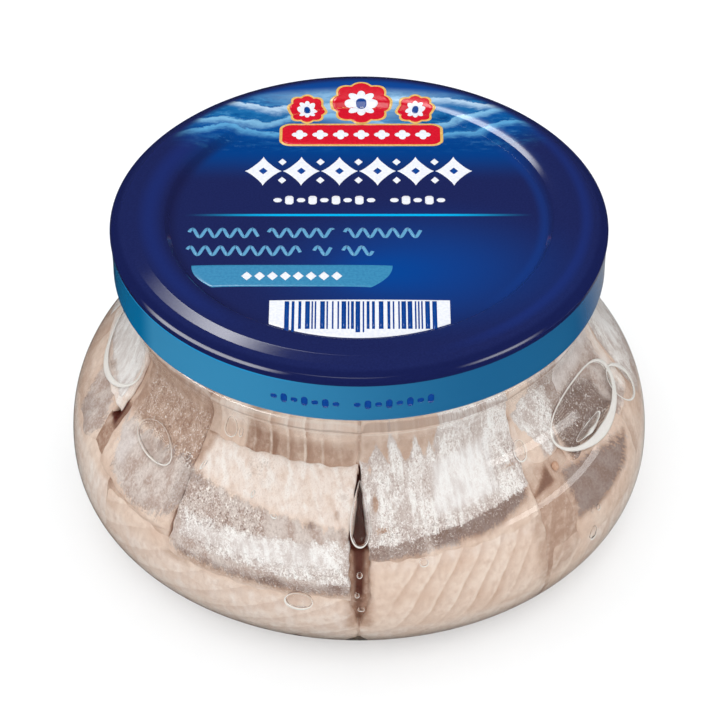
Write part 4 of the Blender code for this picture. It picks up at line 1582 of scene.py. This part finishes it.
def surroundings():
    """Even white light all round, of which lacquer and glass mirror little but a glow at the right."""
    r = Recipe(bpy.data.worlds.new("studio"))
    path = r.node("ShaderNodeLightPath").outputs
    mirrored = r.times(path["Is Glossy Ray"], r.math("LESS_THAN", path["Transmission Depth"], 0.5))
    right, back, height = r.parts(r.add("ShaderNodeTexCoord"))
    ground = r.step(height, -0.62, -0.4, MIRRORED_GROUND, 0.0)
    ground = r.times(ground, r.step(back, 0.4, 0.7), r.step(right, -0.2, 0.2))
    dim = r.plus(ground, MIRRORED_SKY)
    soft, dark = (r.add("ShaderNodeBackground", {"Color": WHITE, "Strength": light}) for light in (SKY, dim))
    return r.finish(r.choose(mirrored, soft, dark), "ShaderNodeOutputWorld")


def lamp(name, azimuth, elevation, roll, distance, width, height, bright, fade):
    """A soft rectangle that faces the jar and fades towards its edges."""
    light = bpy.data.lights.new(name, "AREA")
    light.shape = "RECTANGLE"
    light.size = width
    light.size_y = height
    light.energy = bright * math.pi * width * height
    r = Recipe(light)
    face = r.parts(r.add("ShaderNodeNewGeometry", output=5))[:2]
    lit = [r.step(r.minus(0.5, r.off(place, 0.5)), 0.0, fade / 2) for place in face]
    r.finish(r.add("ShaderNodeEmission", {"Strength": r.times(*lit)}), "ShaderNodeOutputLight")
    a, e = math.radians(azimuth), math.radians(elevation)
    away = Vector((math.sin(a) * math.cos(e), -math.cos(a) * math.cos(e), math.sin(e)))
    made = bpy.data.objects.new(name, light)
    made.location = Vector(LAMPS_MIDDLE) + away * distance
    turn = away.to_track_quat("Z", "Y") @ Quaternion((0.0, 0.0, 1.0), math.radians(roll))
    made.rotation_euler = turn.to_euler()
    made.visible_diffuse = name == "lamp_soft"
    bpy.context.scene.collection.objects.link(made)


def studio():
    """Lamps, white surroundings, a sheet of white paper under the jar, and the camera."""
    scene = bpy.context.scene
    scene.view_settings.view_transform = "Standard"
    scene.world = surroundings()
    for name, settings in LAMPS.items():
        lamp(name, *settings)

    r = material("white paper")
    tone = r.mix(r.noise(r.place(), 0.02), *PAPER_TONES)
    paper = r.finish(r.add("ShaderNodeBsdfDiffuse", {"Color": tone}))
    mesh = bpy.data.meshes.new("floor")
    corners = ((-1, -1), (1, -1), (1, 1), (-1, 1))
    mesh.from_pydata([(PAPER_REACH * x, PAPER_REACH * y, 0.0) for x, y in corners], [], [(0, 1, 2, 3)])
    mesh.materials.append(paper)
    floor = bpy.data.objects.new("floor", mesh)
    floor.visible_glossy = False
    scene.collection.objects.link(floor)

    view = bpy.data.cameras.new("camera")
    view.lens = LENS
    view.sensor_width = SENSOR
    camera = bpy.data.objects.new("camera", view)
    camera.location = CAMERA_PLACE
    camera.rotation_euler = (math.pi / 2 - CAMERA_PITCH, 0.0, CAMERA_TURN)
    scene.collection.objects.link(camera)
    scene.camera = camera


studio()
jar_glass()
oil()
lid()
inks = {name: mottled(f"{name} ink", *tones) for name, tones in INKS.items()}
print_on_lid(inks)
print_on_skirt(inks["blue"])
fish()
bubbles()
